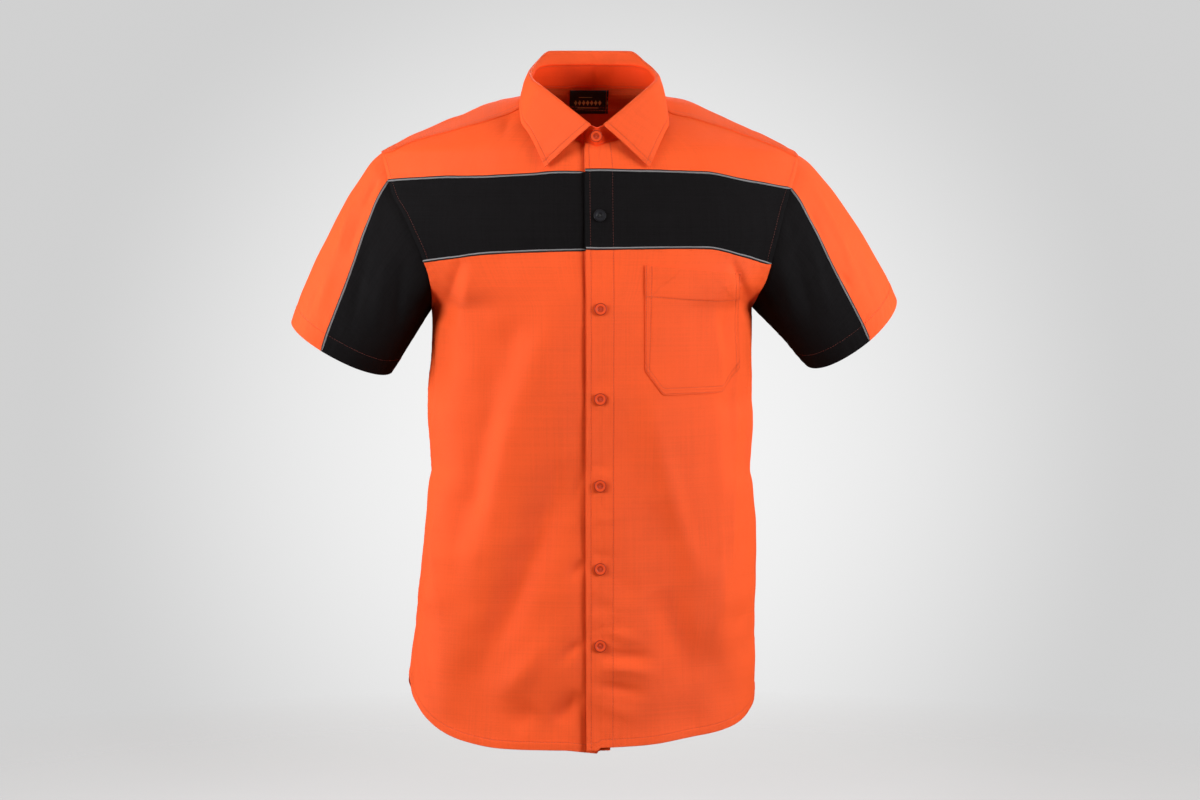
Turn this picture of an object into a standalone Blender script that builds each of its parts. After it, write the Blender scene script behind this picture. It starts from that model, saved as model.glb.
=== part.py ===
"""A short-sleeved mechanic shirt, buttoned up and filled out as if worn.

Metres, +Z up, front towards -Y, wearer's left towards +X. The origin lies inside the
shirt between the shoulders, level with the neck point of the shoulder ridge. The shirt
hangs from its shoulders, so the neck, the cuffs and the hem are open.

Every panel of the body is cut from one hollow form, whose level sections are the rows
of SECTIONS. A panel is a grid between its seams, given a wall of cloth.
"""

import math
from collections import namedtuple

import bmesh
import bpy
import numpy as np
from mathutils import Vector
from mathutils.bvhtree import BVHTree

# Cloth, seams and laps
CLOTH = 0.0015           # wall of a panel
TRIM = 0.0012            # wall of what is sewn on top
GAP = 0.0003             # between neighbouring pieces
SEAM_ROOM = 1.6          # how generously walls that meet at an angle are drawn back
LAP = 0.0010             # a lapped front stands this far off the form, one out, one in
LAP_FLAT = 0.015         # half width over which the fronts lap
LAP_FADE = 0.040         # and where both are back on the form
OVER_EDGE = -0.0132      # the left front ends here, on top
UNDER_EDGE = 0.0130      # the right front ends here, underneath

# Buttons
BUTTON_RADIUS = 0.0070
BUTTON_THICK = 0.0028
BUTTON_RIM = 0.0012
BUTTON_DISH = 0.0007
COLLAR_BUTTON_X = -0.0007
COLLAR_BUTTON_Z = -0.0470
FRONT_BUTTON_X = 0.0020
FRONT_BUTTON_HEIGHTS = (-0.1351, -0.2366, -0.3352, -0.4310, -0.5229, -0.6078)

# Steps of the panels' grids: the pieces on both sides of a seam share its points
NECK_STEPS = 7           # from the yoke's corner to the front edge, the last past the middle
BACK_NECK_STEPS = 7      # from centre back to the yoke's corner
YOKE_SEAM_STEPS = 9
ARM_STEPS = {"below_band": 4, "band": 5, "above_band": 4, "yoke": 7, "back": 6}
SIDE_SEAM_STEPS = 16
BACK_STEPS = 24
SLEEVE_STEPS = 11

# Piping and inside labels
PIPING_WIDTH = 0.0026
PIPING_END = 0.3         # it stops this share of a step before the armhole
LABEL_X = (-0.0235, 0.0190)
LABEL_Z = (0.0090, -0.0170)
TAB_X = (0.0196, 0.0216)

# Level sections of the body: half widths to the wearer's right and left, depths to the
# front and back, and how square the section is (2 is an ellipse)
Section = namedtuple("Section", "z right left front back square")
SECTIONS = (
    Section(0.0600, 0.0660, 0.0660, 0.030, 0.052, 2.0),
    Section(0.0120, 0.0690, 0.0690, 0.036, 0.058, 2.0),
    Section(0.0000, 0.0790, 0.0790, 0.043, 0.066, 1.9),
    Section(-0.0045, 0.1025, 0.1020, 0.046, 0.069, 1.85),
    Section(-0.0225, 0.1480, 0.1440, 0.060, 0.079, 1.8),
    Section(-0.0400, 0.1915, 0.1835, 0.077, 0.087, 1.8),
    Section(-0.0500, 0.2130, 0.2040, 0.085, 0.091, 1.85),
    Section(-0.0650, 0.2380, 0.2315, 0.095, 0.096, 1.9),
    Section(-0.0900, 0.2470, 0.2430, 0.103, 0.102, 2.0),
    Section(-0.1200, 0.2500, 0.2480, 0.110, 0.107, 2.2),
    Section(-0.1500, 0.2490, 0.2480, 0.117, 0.111, 2.35),
    Section(-0.1800, 0.2400, 0.2400, 0.122, 0.113, 2.4),
    Section(-0.2100, 0.2160, 0.2160, 0.126, 0.114, 2.4),
    Section(-0.2380, 0.1820, 0.1810, 0.128, 0.114, 2.4),
    Section(-0.2700, 0.1815, 0.1805, 0.1285, 0.113, 2.4),
    Section(-0.3450, 0.1860, 0.1795, 0.127, 0.109, 2.4),
    Section(-0.4200, 0.1830, 0.1795, 0.124, 0.105, 2.4),
    Section(-0.5050, 0.1915, 0.1850, 0.124, 0.106, 2.4),
    Section(-0.6000, 0.2005, 0.1845, 0.127, 0.112, 2.4),
    Section(-0.6800, 0.2105, 0.1850, 0.131, 0.119, 2.4),
    Section(-0.7700, 0.2150, 0.1840, 0.135, 0.124, 2.4),
)
SHOULDER_AXIS_Z = -0.12  # tilts over the shoulders are measured about this level line
ANGLE_LENGTH = (0.0025, 1.0)   # metres to a degree round the body, and to a unit of height
TILT_LENGTH = (1.0, 0.0022)    # and to a unit across, and a degree of tilt

# Neck seam, from centre back (0) to centre front (1): distance from the middle, and tilt
Neck = namedtuple("Neck", "station x tilt")
NECK = (
    Neck(0.00, 0.0000, 24.0), Neck(0.10, 0.0265, 22.5), Neck(0.20, 0.0480, 18.0),
    Neck(0.30, 0.0640, 10.5), Neck(0.40, 0.0720, 0.0), Neck(0.50, 0.0748, -10.0),
    Neck(0.58, 0.0755, -19.0), Neck(0.68, 0.0690, -28.0), Neck(0.78, 0.0565, -37.0),
    Neck(0.88, 0.0375, -47.0), Neck(1.00, 0.0000, -56.6),
)
YOKE_CORNER = 0.58       # station where the yoke's front seam meets the neck

# Yoke's front seam, by distance from the middle
YokeSeam = namedtuple("YokeSeam", "x right left")
YOKE_SEAM = (
    YokeSeam(0.0867, -0.0179, -0.0222), YokeSeam(0.1054, -0.0253, -0.0261),
    YokeSeam(0.1277, -0.0330, -0.0318), YokeSeam(0.1500, -0.0386, -0.0388),
    YokeSeam(0.1723, -0.0441, -0.0465), YokeSeam(0.1947, -0.0507, -0.0545),
    YokeSeam(0.2150, -0.0588, -0.0630), YokeSeam(0.2300, -0.0650, -0.0705),
)
YOKE_BACK_Z = -0.100     # level of the yoke's back seam

# Armhole seam in front view
Armhole = namedtuple("Armhole", "z right left")
ARMHOLE = (
    Armhole(-0.080, 0.2333, 0.2290), Armhole(-0.095, 0.2297, 0.2235),
    Armhole(-0.112, 0.2248, 0.2168), Armhole(-0.132, 0.2138, 0.2098),
    Armhole(-0.156, 0.2027, 0.2030), Armhole(-0.181, 0.1918, 0.1960),
    Armhole(-0.207, 0.1838, 0.1893), Armhole(-0.225, 0.1818, 0.1822),
)
SHOULDER_TIP_Z = {-1: -0.0640, 1: -0.0660}
ARMPIT_Z = {-1: -0.2385, 1: -0.2370}

# Seams of the chest band, by distance from the middle
Band = namedtuple("Band", "x top_right bottom_right top_left bottom_left")
BAND = (
    Band(0.00, -0.0870, -0.1720, -0.0850, -0.1712),
    Band(0.04, -0.0870, -0.1726, -0.0855, -0.1704),
    Band(0.08, -0.0900, -0.1740, -0.0861, -0.1700),
    Band(0.12, -0.0922, -0.1760, -0.0880, -0.1702),
    Band(0.16, -0.0923, -0.1808, -0.0947, -0.1786),
    Band(0.20, -0.0938, -0.1862, -0.1015, -0.1885),
    Band(0.24, -0.0972, -0.1900, -0.1090, -0.1890),
)

# Hem, by angle round from centre front (0) to the side seam (90) and centre back (180)
Hem = namedtuple("Hem", "angle right left")
HEM = (
    Hem(0, -0.7235, -0.7203), Hem(15, -0.7230, -0.7188), Hem(30, -0.7222, -0.7135),
    Hem(42, -0.7168, -0.7092), Hem(52, -0.7070, -0.7043), Hem(60, -0.6945, -0.6990),
    Hem(68, -0.6800, -0.6918), Hem(78, -0.6680, -0.6850), Hem(90, -0.6600, -0.6800),
    Hem(102, -0.6730, -0.6850), Hem(114, -0.7000, -0.7010), Hem(126, -0.7230, -0.7190),
    Hem(140, -0.7370, -0.7350), Hem(160, -0.7460, -0.7450), Hem(180, -0.7480, -0.7480),
)
UNDER_HEM_DROP = 0.0035  # the right front hangs lower where it is lapped

# Largest folds of the body: from (x0, z0) to (x1, z1) in front or back view, the half
# width, and the height of the ridge (a trough is negative). Side is -1 front, 1 back.
Fold = namedtuple("Fold", "side x0 z0 x1 z1 width height")
FOLDS = (
    Fold(-1, -0.150, -0.190, -0.166, -0.245, 0.016, -0.0060),
    Fold(-1, -0.050, -0.250, -0.155, -0.600, 0.040, 0.0050),
    Fold(-1, -0.100, -0.280, -0.150, -0.470, 0.026, -0.0050),
    Fold(-1, -0.050, -0.450, -0.140, -0.700, 0.030, -0.0055),
    Fold(-1, -0.172, -0.440, -0.176, -0.560, 0.018, 0.0045),
    Fold(-1, 0.070, -0.340, 0.130, -0.580, 0.030, 0.0045),
    Fold(-1, 0.075, -0.490, 0.100, -0.690, 0.026, -0.0050),
    Fold(-1, 0.160, -0.440, 0.155, -0.560, 0.020, 0.0035),
    Fold(-1, 0.150, -0.190, 0.172, -0.240, 0.016, -0.0050),
    Fold(-1, 0.140, -0.250, 0.150, -0.340, 0.018, -0.0035),
    Fold(1, -0.100, -0.170, -0.060, -0.420, 0.034, 0.0055),
    Fold(1, 0.095, -0.180, 0.050, -0.400, 0.032, 0.0050),
    Fold(1, -0.150, -0.200, -0.120, -0.330, 0.020, -0.0050),
    Fold(1, 0.150, -0.200, 0.125, -0.340, 0.020, -0.0050),
    Fold(1, -0.010, -0.380, -0.060, -0.700, 0.034, -0.0060),
    Fold(1, 0.080, -0.400, 0.110, -0.700, 0.032, -0.0050),
    Fold(1, -0.110, -0.440, -0.130, -0.700, 0.030, 0.0050),
    Fold(1, 0.030, -0.460, 0.040, -0.700, 0.030, 0.0055),
)
FOLD_END = 0.25          # share of a fold's length over which each end fades

# Sleeves: cuff seen from the front as a chord from its outer to its inner point, the
# degrees its opening turns to the front, and the share its front is pushed outwards
Cuff = namedtuple("Cuff", "outer_x outer_z inner_x inner_z centre_y turn push crown")
CUFFS = {
    -1: Cuff(0.3382, -0.2525, 0.2290, -0.3120, -0.004, 12.5, 0.05, 0.0103),
    1: Cuff(0.3455, -0.2290, 0.2435, -0.3025, -0.004, 15.5, -0.14, 0.0105),
}
CUFF_DEPTH = 0.0600      # half the cuff's opening from front to back
SLEEVE_FULLNESS = 0.0060
# Height of the sleeve's top line over the straight line from shoulder tip to cuff
Crown = namedtuple("Crown", "along height")
CROWN = (
    Crown(0.00, 0.00), Crown(0.08, 0.50), Crown(0.18, 0.75), Crown(0.30, 0.98),
    Crown(0.40, 1.00), Crown(0.52, 0.96), Crown(0.66, 0.86), Crown(0.84, 0.58),
    Crown(1.00, 0.00),
)
# How far the piped sleeve seam turns towards the underarm on its way to the cuff
SleeveSeam = namedtuple("SleeveSeam", "along right left")
SLEEVE_SEAM = (
    SleeveSeam(0.00, 0.0, 0.0), SleeveSeam(0.20, 9.0, 8.0), SleeveSeam(0.45, 17.0, 15.0),
    SleeveSeam(0.72, 22.5, 18.5), SleeveSeam(1.00, 26.0, 20.0),
)
UNDERARM = 180.0

# Top edge of the collar stand, by the neck's stations
Stand = namedtuple("Stand", "station x y z")
STAND = (
    Stand(0.00, 0.0000, 0.0500, 0.0385), Stand(0.10, 0.0255, 0.0458, 0.0380),
    Stand(0.20, 0.0452, 0.0345, 0.0372), Stand(0.30, 0.0595, 0.0155, 0.0335),
    Stand(0.40, 0.0670, -0.0080, 0.0255), Stand(0.50, 0.0692, -0.0280, 0.0185),
    Stand(0.58, 0.0688, -0.0445, 0.0105), Stand(0.68, 0.0642, -0.0590, -0.0015),
    Stand(0.78, 0.0522, -0.0730, -0.0125), Stand(0.88, 0.0342, -0.0875, -0.0250),
    Stand(1.00, 0.0000, -0.0980, -0.0385),
)
STAND_END_ROUND = 0.012
STAND_END_DROP = 0.6
STAND_SHARES = (0.0, 0.34, 0.67, 1.0)
NECK_ROOM = 0.0007       # the stand keeps this far above the neck seam
LAP_ROOM = 0.0004        # and this much more where its end laps over
FRONT_NECK_ROOM = 0.0004  # the fronts keep this far below it
YOKE_NECK_ROOM = 0.0009  # and the yoke this far

# Collar leaf: its roll line, then its outer edge as a place over the shoulders
Leaf = namedtuple("Leaf", "station right left y z edge_right edge_left edge_tilt lift")
LEAF = (
    Leaf(0.00, 0.0000, 0.0000, 0.0545, 0.0535, 0.0000, 0.0000, 28.5, 0.0060),
    Leaf(0.10, 0.0265, 0.0262, 0.0515, 0.0533, 0.0325, 0.0320, 26.5, 0.0055),
    Leaf(0.20, 0.0462, 0.0450, 0.0410, 0.0525, 0.0560, 0.0540, 20.5, 0.0050),
    Leaf(0.30, 0.0612, 0.0596, 0.0190, 0.0400, 0.0705, 0.0670, 11.0, 0.0045),
    Leaf(0.40, 0.0692, 0.0684, -0.0055, 0.0300, 0.0765, 0.0725, 0.0, 0.0040),
    Leaf(0.50, 0.0712, 0.0710, -0.0280, 0.0235, 0.0800, 0.0765, -11.0, 0.0035),
    Leaf(0.58, 0.0692, 0.0692, -0.0460, 0.0175, 0.0825, 0.0800, -21.2, 0.0032),
    Leaf(0.68, 0.0622, 0.0622, -0.0640, 0.0105, 0.0815, 0.0810, -34.7, 0.0032),
    Leaf(0.78, 0.0490, 0.0490, -0.0780, -0.0005, 0.0740, 0.0750, -45.4, 0.0034),
    Leaf(0.88, 0.0320, 0.0320, -0.0905, -0.0145, 0.0650, 0.0655, -58.5, 0.0036),
    Leaf(0.97, 0.0075, 0.0075, -0.1005, -0.0345, 0.0570, 0.0570, -69.3, 0.0040),
)
LEAF_FOLD = 0.0017       # half thickness of the rolled edge
LEAF_BOW = 0.0016

# Pocket on the wearer's left, in front view
POCKET_INNER = 0.0514
POCKET_OUTER = 0.1600
POCKET_TOP = (-0.1890, -0.1985)
POCKET_BOTTOM = -0.3312
POCKET_CHAMFER = (0.0190, 0.0270)

ORANGE = (0.880, 0.100, 0.024)
ORANGE_DARK = (0.600, 0.055, 0.015)
BLACK = (0.012, 0.011, 0.012)
GREY = (0.330, 0.330, 0.340)


# ---------------------------------------------------------------- curves

def smooth_curve(places, values):
    """A curve through the values that never swings past them."""
    order = np.argsort(places)
    places = np.asarray(places, float)[order]
    values = np.asarray(values, float)[order]
    step = np.diff(places)
    slope = np.diff(values) / step
    tangent = np.zeros(len(places))
    tangent[0], tangent[-1] = slope[0], slope[-1]
    for k in range(1, len(places) - 1):
        if slope[k - 1] * slope[k] > 0:
            before, after = 2 * step[k] + step[k - 1], step[k] + 2 * step[k - 1]
            tangent[k] = (before + after) / (before / slope[k - 1] + after / slope[k])

    def at(place):
        place = np.clip(place, places[0], places[-1])
        k = np.clip(np.searchsorted(places, place) - 1, 0, len(step) - 1)
        t = (place - places[k]) / step[k]
        return ((1 + 2 * t) * (1 - t) ** 2 * values[k] + t * (1 - t) ** 2 * step[k] * tangent[k]
                + t * t * (3 - 2 * t) * values[k + 1] + t * t * (t - 1) * step[k] * tangent[k + 1])
    return at


def column_curves(rows):
    """One smooth curve for each column of a table, over its first column."""
    first = [row[0] for row in rows]
    return {name: smooth_curve(first, [getattr(row, name) for row in rows])
            for name in rows[0]._fields[1:]}


def fade(value):
    """0 to 1, level at both ends."""
    t = np.clip(value, 0.0, 1.0)
    return t * t * (3 - 2 * t)


def unit(vectors):
    return vectors / np.linalg.norm(vectors, axis=-1, keepdims=True)


def side_name(side):
    return "left" if side > 0 else "right"


section = column_curves(SECTIONS)
neck_curve = column_curves(NECK)
yoke_seam = column_curves(YOKE_SEAM)
band_seam = column_curves(BAND)
hem_curve = column_curves(HEM)
crown_curve = column_curves(CROWN)
sleeve_seam = column_curves(SLEEVE_SEAM)
stand_curve = column_curves(STAND)
leaf_curve = column_curves(LEAF)


# ---------------------------------------------------------------- the body's form

def half_width(x, z):
    return np.where(np.asarray(x) < 0, section["right"](z), section["left"](z))


def half_depth(y, z):
    return np.where(np.asarray(y) < 0, section["front"](z), section["back"](z))


def form_point(angle, z):
    """Angle in degrees round from centre front, + to the wearer's left, and height."""
    turn = np.radians(np.asarray(angle, float))
    z = np.asarray(z, float)
    power = section["square"](z)
    reach = (np.abs(np.sin(turn)) ** power + np.abs(np.cos(turn)) ** power) ** (-1 / power)
    x = half_width(np.sin(turn), z) * np.sin(turn) * reach
    y = -half_depth(-np.cos(turn), z) * np.cos(turn) * reach
    return np.stack(np.broadcast_arrays(x, y, z), -1)


def girth_angle(x, z):
    """Angle of the front point at this distance from the middle."""
    share = np.clip(np.abs(x) / half_width(x, z), 0.0, 1.0 - 1e-9)
    power = section["square"](z)
    rise = share ** power
    return np.sign(x) * np.degrees(np.arctan((rise / (1 - rise)) ** (1 / power)))


def fold_height(points):
    """What the folds add at points of the form."""
    x, y, z = points[..., 0], points[..., 1], points[..., 2]
    total = np.zeros_like(x)
    for fold in FOLDS:
        along_x, along_z = fold.x1 - fold.x0, fold.z1 - fold.z0
        length = math.hypot(along_x, along_z)
        along = ((x - fold.x0) * along_x + (z - fold.z0) * along_z) / length ** 2
        across = ((x - fold.x0) * along_z - (z - fold.z0) * along_x) / length
        ends = fade(along / FOLD_END + 1) * fade((1 - along) / FOLD_END + 1)
        facing = fade(0.5 + fold.side * y / 0.04)
        total += fold.height * np.exp(-(across / fold.width) ** 2) * ends * facing
    return total


def chart_normal(chart, first, second, first_step, second_step):
    """Unit normal of a chart, away from the shirt's inside."""
    a = chart(first + first_step, second) - chart(first - first_step, second)
    b = chart(first, second + second_step) - chart(first, second - second_step)
    return unit(np.cross(a, b))


def body(angle, z, out=0.0):
    """Cloth of the body: a form point, moved out by its folds and by `out`."""
    angle, z = np.broadcast_arrays(np.asarray(angle, float), np.asarray(z, float))
    point = form_point(angle, z)
    normal = chart_normal(form_point, angle, z, 0.05, 0.0004)
    distance = fold_height(point) + out
    return point + normal * np.asarray(distance)[..., None]


def shoulder_form(x, tilt):
    """Form point over the shoulders at a distance from the middle and a tilt."""
    x, tilt = np.broadcast_arrays(np.asarray(x, float), np.radians(np.asarray(tilt, float)))
    near, far = np.zeros(x.shape), np.full(x.shape, 0.30)
    for _ in range(44):
        middle = (near + far) / 2
        y = middle * np.sin(tilt)
        z = SHOULDER_AXIS_Z + middle * np.cos(tilt)
        power = section["square"](z)
        inside = (np.abs(x) / half_width(x, z)) ** power + (np.abs(y) / half_depth(y, z)) ** power < 1
        near, far = np.where(inside, middle, near), np.where(inside, far, middle)
    return np.stack([x, near * np.sin(tilt), SHOULDER_AXIS_Z + near * np.cos(tilt)], -1)


def shoulder(x, tilt, out=0.0):
    """Cloth over the shoulders, moved out by `out`."""
    x, tilt = np.broadcast_arrays(np.asarray(x, float), np.asarray(tilt, float))
    point = shoulder_form(x, tilt)
    normal = chart_normal(shoulder_form, x, tilt, 0.0005, 0.25)
    return point + normal * (fold_height(point) + out)[..., None]


def tilt_of(point):
    return np.degrees(np.arctan2(point[..., 1], point[..., 2] - SHOULDER_AXIS_Z))


def lap(side, x):
    """How far a front, or its end of the stand, stands off the form at x."""
    return side * LAP * fade((LAP_FADE - side * np.asarray(x)) / (LAP_FADE - LAP_FLAT))


# ---------------------------------------------------------------- seams

def neck(station, side):
    """Point of the neck seam; past station 1 it runs on beyond the middle."""
    station = np.asarray(station, float)
    beyond = station > 1
    folded = np.where(beyond, 2 - station, station)
    x = side * neck_curve["x"](folded) * np.where(beyond, -1, 1)
    return shoulder_form(x, neck_curve["tilt"](folded))


def armhole(turn, side):
    """Point of the armhole seam: 0 at the shoulder tip, 90 in front, 180 at the armpit."""
    turn = np.radians(np.asarray(turn, float))
    top, bottom = SHOULDER_TIP_Z[side], ARMPIT_Z[side]
    z = (top + bottom) / 2 + (top - bottom) / 2 * np.cos(turn)
    name = side_name(side)
    rows = [(top, float(section[name](top)))]
    rows += [(row.z, getattr(row, name)) for row in ARMHOLE]
    rows += [(bottom, float(section[name](bottom)))]
    x = smooth_curve([row[0] for row in rows], [row[1] for row in rows])(z)
    angle = girth_angle(side * x, z)
    angle = np.where(np.sin(turn) < 0, side * 180 - angle, angle)
    return form_point(angle, z), angle, z


def armhole_turn(z, side):
    top, bottom = SHOULDER_TIP_Z[side], ARMPIT_Z[side]
    return math.degrees(math.acos((z - (top + bottom) / 2) / ((top - bottom) / 2)))


def band_z(x, edge, side):
    return band_seam[edge + "_" + side_name(side)](np.abs(x))


def hem_z(angle):
    """Hem height at an angle from -180 to 180."""
    angle = np.asarray(angle, float)
    return np.where(angle < 0, hem_curve["right"](-angle), hem_curve["left"](angle))


def front_chart(x, z):
    """Points in front view as angle and height."""
    return np.stack([girth_angle(x, z), np.asarray(z, float) + 0 * np.asarray(x)], -1)


def way_along(points, lengths):
    """Share of a chain's length at each chart point; `lengths` are metres per chart unit."""
    step = np.diff(points, axis=0) * np.array(lengths)
    way = np.concatenate([[0], np.cumsum(np.hypot(step[:, 0], step[:, 1]))])
    return way / way[-1]


def resampled(points, count):
    """Evenly spaced points on a chain of angles and heights."""
    way, wanted = way_along(points, ANGLE_LENGTH), np.linspace(0, 1, count)
    return np.stack([np.interp(wanted, way, points[:, k]) for k in range(2)], -1)


def chain(*pieces):
    """Joins chains that meet end to end; each is (points, number of steps)."""
    rows = [resampled(points, steps + 1) for points, steps in pieces]
    return np.concatenate([rows[0]] + [row[1:] for row in rows[1:]])


def filled(bottom, top, start, end, share=None):
    """Grid between four chains: bottom and top run alike, start and end join them.

    The rows stand at equal steps, or at the given shares of the way up."""
    u = np.linspace(0, 1, len(bottom))[None, :, None]
    v = (np.linspace(0, 1, len(start)) if share is None else share)[:, None, None]
    ruled = (1 - v) * bottom[None] + v * top[None] + (1 - u) * start[:, None] + u * end[:, None]
    corners = ((1 - u) * (1 - v) * bottom[0] + u * (1 - v) * bottom[-1]
               + (1 - u) * v * top[0] + u * v * top[-1])
    return ruled - corners


def trimmed(points, first_row=0.0, last_row=0.0, first_column=0.0, last_column=0.0):
    """Draws the edges of a grid of points back from their seams."""
    points = points.copy()
    for amount, edge, inner in ((first_row, 0, 1), (last_row, -1, -2)):
        if np.any(amount):
            points[edge] += unit(points[inner] - points[edge]) * np.reshape(amount, (-1, 1))
    for amount, edge, inner in ((first_column, 0, 1), (last_column, -1, -2)):
        if np.any(amount):
            toward = unit(points[:, inner] - points[:, edge])
            points[:, edge] += toward * np.reshape(amount, (-1, 1))
    return points


def clearance(first_direction, second_direction):
    """How far two walls that meet at a seam are drawn back to miss each other."""
    cosine = np.sum(unit(first_direction) * unit(second_direction), -1)
    half_angle = np.arccos(np.clip(cosine, -1, 1)) / 2
    return GAP / 2 + SEAM_ROOM * (CLOTH / 2 + GAP) / np.tan(half_angle)


# ---------------------------------------------------------------- sleeves

def cuff(turn, side):
    shape = CUFFS[side]
    outer = np.array([shape.outer_x * side, shape.centre_y, shape.outer_z])
    inner = np.array([shape.inner_x * side, shape.centre_y, shape.inner_z])
    across = (outer - inner) / 2
    lean = math.radians(shape.turn)
    down = np.array([across[2] * side, 0, -across[0] * side])
    down = down / np.linalg.norm(down) * math.sin(lean)
    forward = (down + np.array([0, -math.cos(lean), 0])) * CUFF_DEPTH + across * shape.push
    turn = np.radians(np.asarray(turn, float))[..., None]
    return (outer + inner) / 2 + np.cos(turn) * across + np.sin(turn) * forward


def sleeve_form(side):
    """Chart of one sleeve: turn as at the armhole, and share of the way to the cuff."""
    tip, _, _ = armhole(0.0, side)
    line = unit(cuff(0.0, side) - tip)
    crown_way = np.array([-line[2] * side, 0, line[0] * side])
    height = CUFFS[side].crown

    def at(turn, along):
        turn, along = np.broadcast_arrays(np.asarray(turn, float), np.asarray(along, float))
        seam, _, _ = armhole(turn, side)
        share = along[..., None]
        point = (1 - share) * seam + share * cuff(turn, side)
        swell = crown_curve["height"](along)[..., None]
        over = (1 + np.cos(np.radians(turn)))[..., None] / 2
        ahead = np.sin(np.radians(turn))[..., None]
        point = point + swell * over * height * crown_way
        return point + swell * ahead * SLEEVE_FULLNESS * np.array([0, -1, 0])
    return at


def sleeve(side, turn, along, out=0.0):
    at = sleeve_form(side)
    turn, along = np.broadcast_arrays(np.asarray(turn, float), np.asarray(along, float))
    inner_along = np.clip(along, 0.01, 0.99)
    normal = chart_normal(at, turn, inner_along, 0.4, 0.008) * side
    return at(turn, along) + normal * np.asarray(out + 0.0 * turn)[..., None]


def armhole_clearance(turn, side):
    """What body and sleeve are drawn back by at the armhole."""
    turn = np.asarray(turn, float)
    seam, angle, z = armhole(turn, side)
    at = sleeve_form(side)
    away = at(turn, 0.06) - seam
    ahead, _, _ = armhole(turn + 1, side)
    behind, _, _ = armhole(turn - 1, side)
    normal = chart_normal(form_point, angle, z, 0.05, 0.0004)
    inward = np.cross(normal, ahead - behind)
    inward = inward * np.sign(np.sum(inward * (np.array([0, 0, -0.15]) - seam), -1))[..., None]
    return clearance(inward, away)


# ---------------------------------------------------------------- making solids

laid_out = {}            # each piped panel's grid before its seams are drawn back


def new_material(name, colour, roughness):
    material = bpy.data.materials.new(name)
    material.use_nodes = True
    shader = material.node_tree.nodes["Principled BSDF"]
    shader.inputs["Base Color"].default_value = (*colour, 1.0)
    shader.inputs["Roughness"].default_value = roughness
    material.diffuse_color = (*colour, 1.0)
    return material


def add_object(name, mesh, colour, roughness=0.85):
    shirt = bpy.data.collections["mechanic_shirt"]
    piece = bpy.data.objects.new(name, mesh)
    piece.data.materials.append(new_material(name + "_finish", colour, roughness))
    shirt.objects.link(piece)
    return piece


def sheet_mesh(name, points):
    """A grid of triangles laid on rows of points."""
    rows, columns = points.shape[:2]
    cells = bmesh.new()
    bmesh.ops.create_grid(cells, x_segments=columns - 1, y_segments=rows - 1, size=1.0)
    for vert in cells.verts:
        column = round((vert.co.x + 1) / 2 * (columns - 1))
        row = round((vert.co.y + 1) / 2 * (rows - 1))
        vert.co = points[row, column]
    bmesh.ops.triangulate(cells, faces=cells.faces)
    mesh = bpy.data.meshes.new(name)
    cells.to_mesh(mesh)
    cells.free()
    return mesh


def add_cloth(name, mesh, colour, wall):
    """Gives a sheet its wall, half to each side."""
    piece = add_object(name, mesh, colour)
    solid = piece.modifiers.new("wall", "SOLIDIFY")
    solid.thickness = wall
    solid.offset = 0.0
    return piece


def add_sheet(name, points, colour, wall=CLOTH):
    return add_cloth(name, sheet_mesh(name, points), colour, wall)


def add_patch(name, panel, cuts, out, colour):
    """A patch cut from a panel's own facets and moved out from it.

    Each cut is a point of a plane and the direction of what it takes away."""
    cells = bmesh.new()
    cells.from_mesh(bpy.data.objects[panel].data)
    for place, away in cuts:
        everything = cells.verts[:] + cells.edges[:] + cells.faces[:]
        bmesh.ops.bisect_plane(cells, geom=everything, plane_co=place, plane_no=away,
                               dist=1e-7, clear_outer=True)
    bmesh.ops.remove_doubles(cells, verts=cells.verts, dist=1e-5)
    bmesh.ops.triangulate(cells, faces=cells.faces)
    cells.normal_update()
    inside = Vector((0, 0, SHOULDER_AXIS_Z))
    if sum(vert.normal.dot(vert.co - inside) for vert in cells.verts) < 0:
        out = -out
    moved = [vert.co + vert.normal * out for vert in cells.verts]
    for vert, place in zip(cells.verts, moved):
        vert.co = place
    mesh = bpy.data.meshes.new(name)
    cells.to_mesh(mesh)
    cells.free()
    return add_cloth(name, mesh, colour, TRIM)


def on_panel(panel, x, z):
    """Point and outward direction of a front panel's facet, in front view."""
    mesh = bpy.data.objects[panel].data
    tree = BVHTree.FromPolygons([vert.co for vert in mesh.vertices],
                                [face.vertices for face in mesh.polygons])
    place, normal, _, _ = tree.ray_cast(Vector((x, -1, z)), Vector((0, 1, 0)))
    return place, normal if normal.y < 0 else -normal


def front_edge_x(side):
    """Where a front ends, past the middle."""
    return OVER_EDGE if side > 0 else UNDER_EDGE


def front_panel(name, side, grid, colour, **edges):
    """A piece of a front, lapped near the middle."""
    form = form_point(grid[..., 0], grid[..., 1])
    laid_out[name] = body(grid[..., 0], grid[..., 1], lap(side, form[..., 0]))
    return add_sheet(name, trimmed(laid_out[name], **edges), colour)


def seam_across_front(side, edge, count=40):
    """The band's top or bottom seam as a chart chain, from front edge to armhole."""
    start = front_edge_x(side)
    turn = band_turn(side, edge)
    end = armhole(turn, side)[0][0]
    x = np.linspace(start, end, count)
    return front_chart(x, band_z(x, edge, side))


def band_turn(side, edge):
    """Armhole turn at which a band seam arrives."""
    turn = 90.0
    for _ in range(30):
        point = armhole(turn, side)[0]
        turn = armhole_turn(float(band_z(point[0], edge, side)), side)
    return turn


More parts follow.
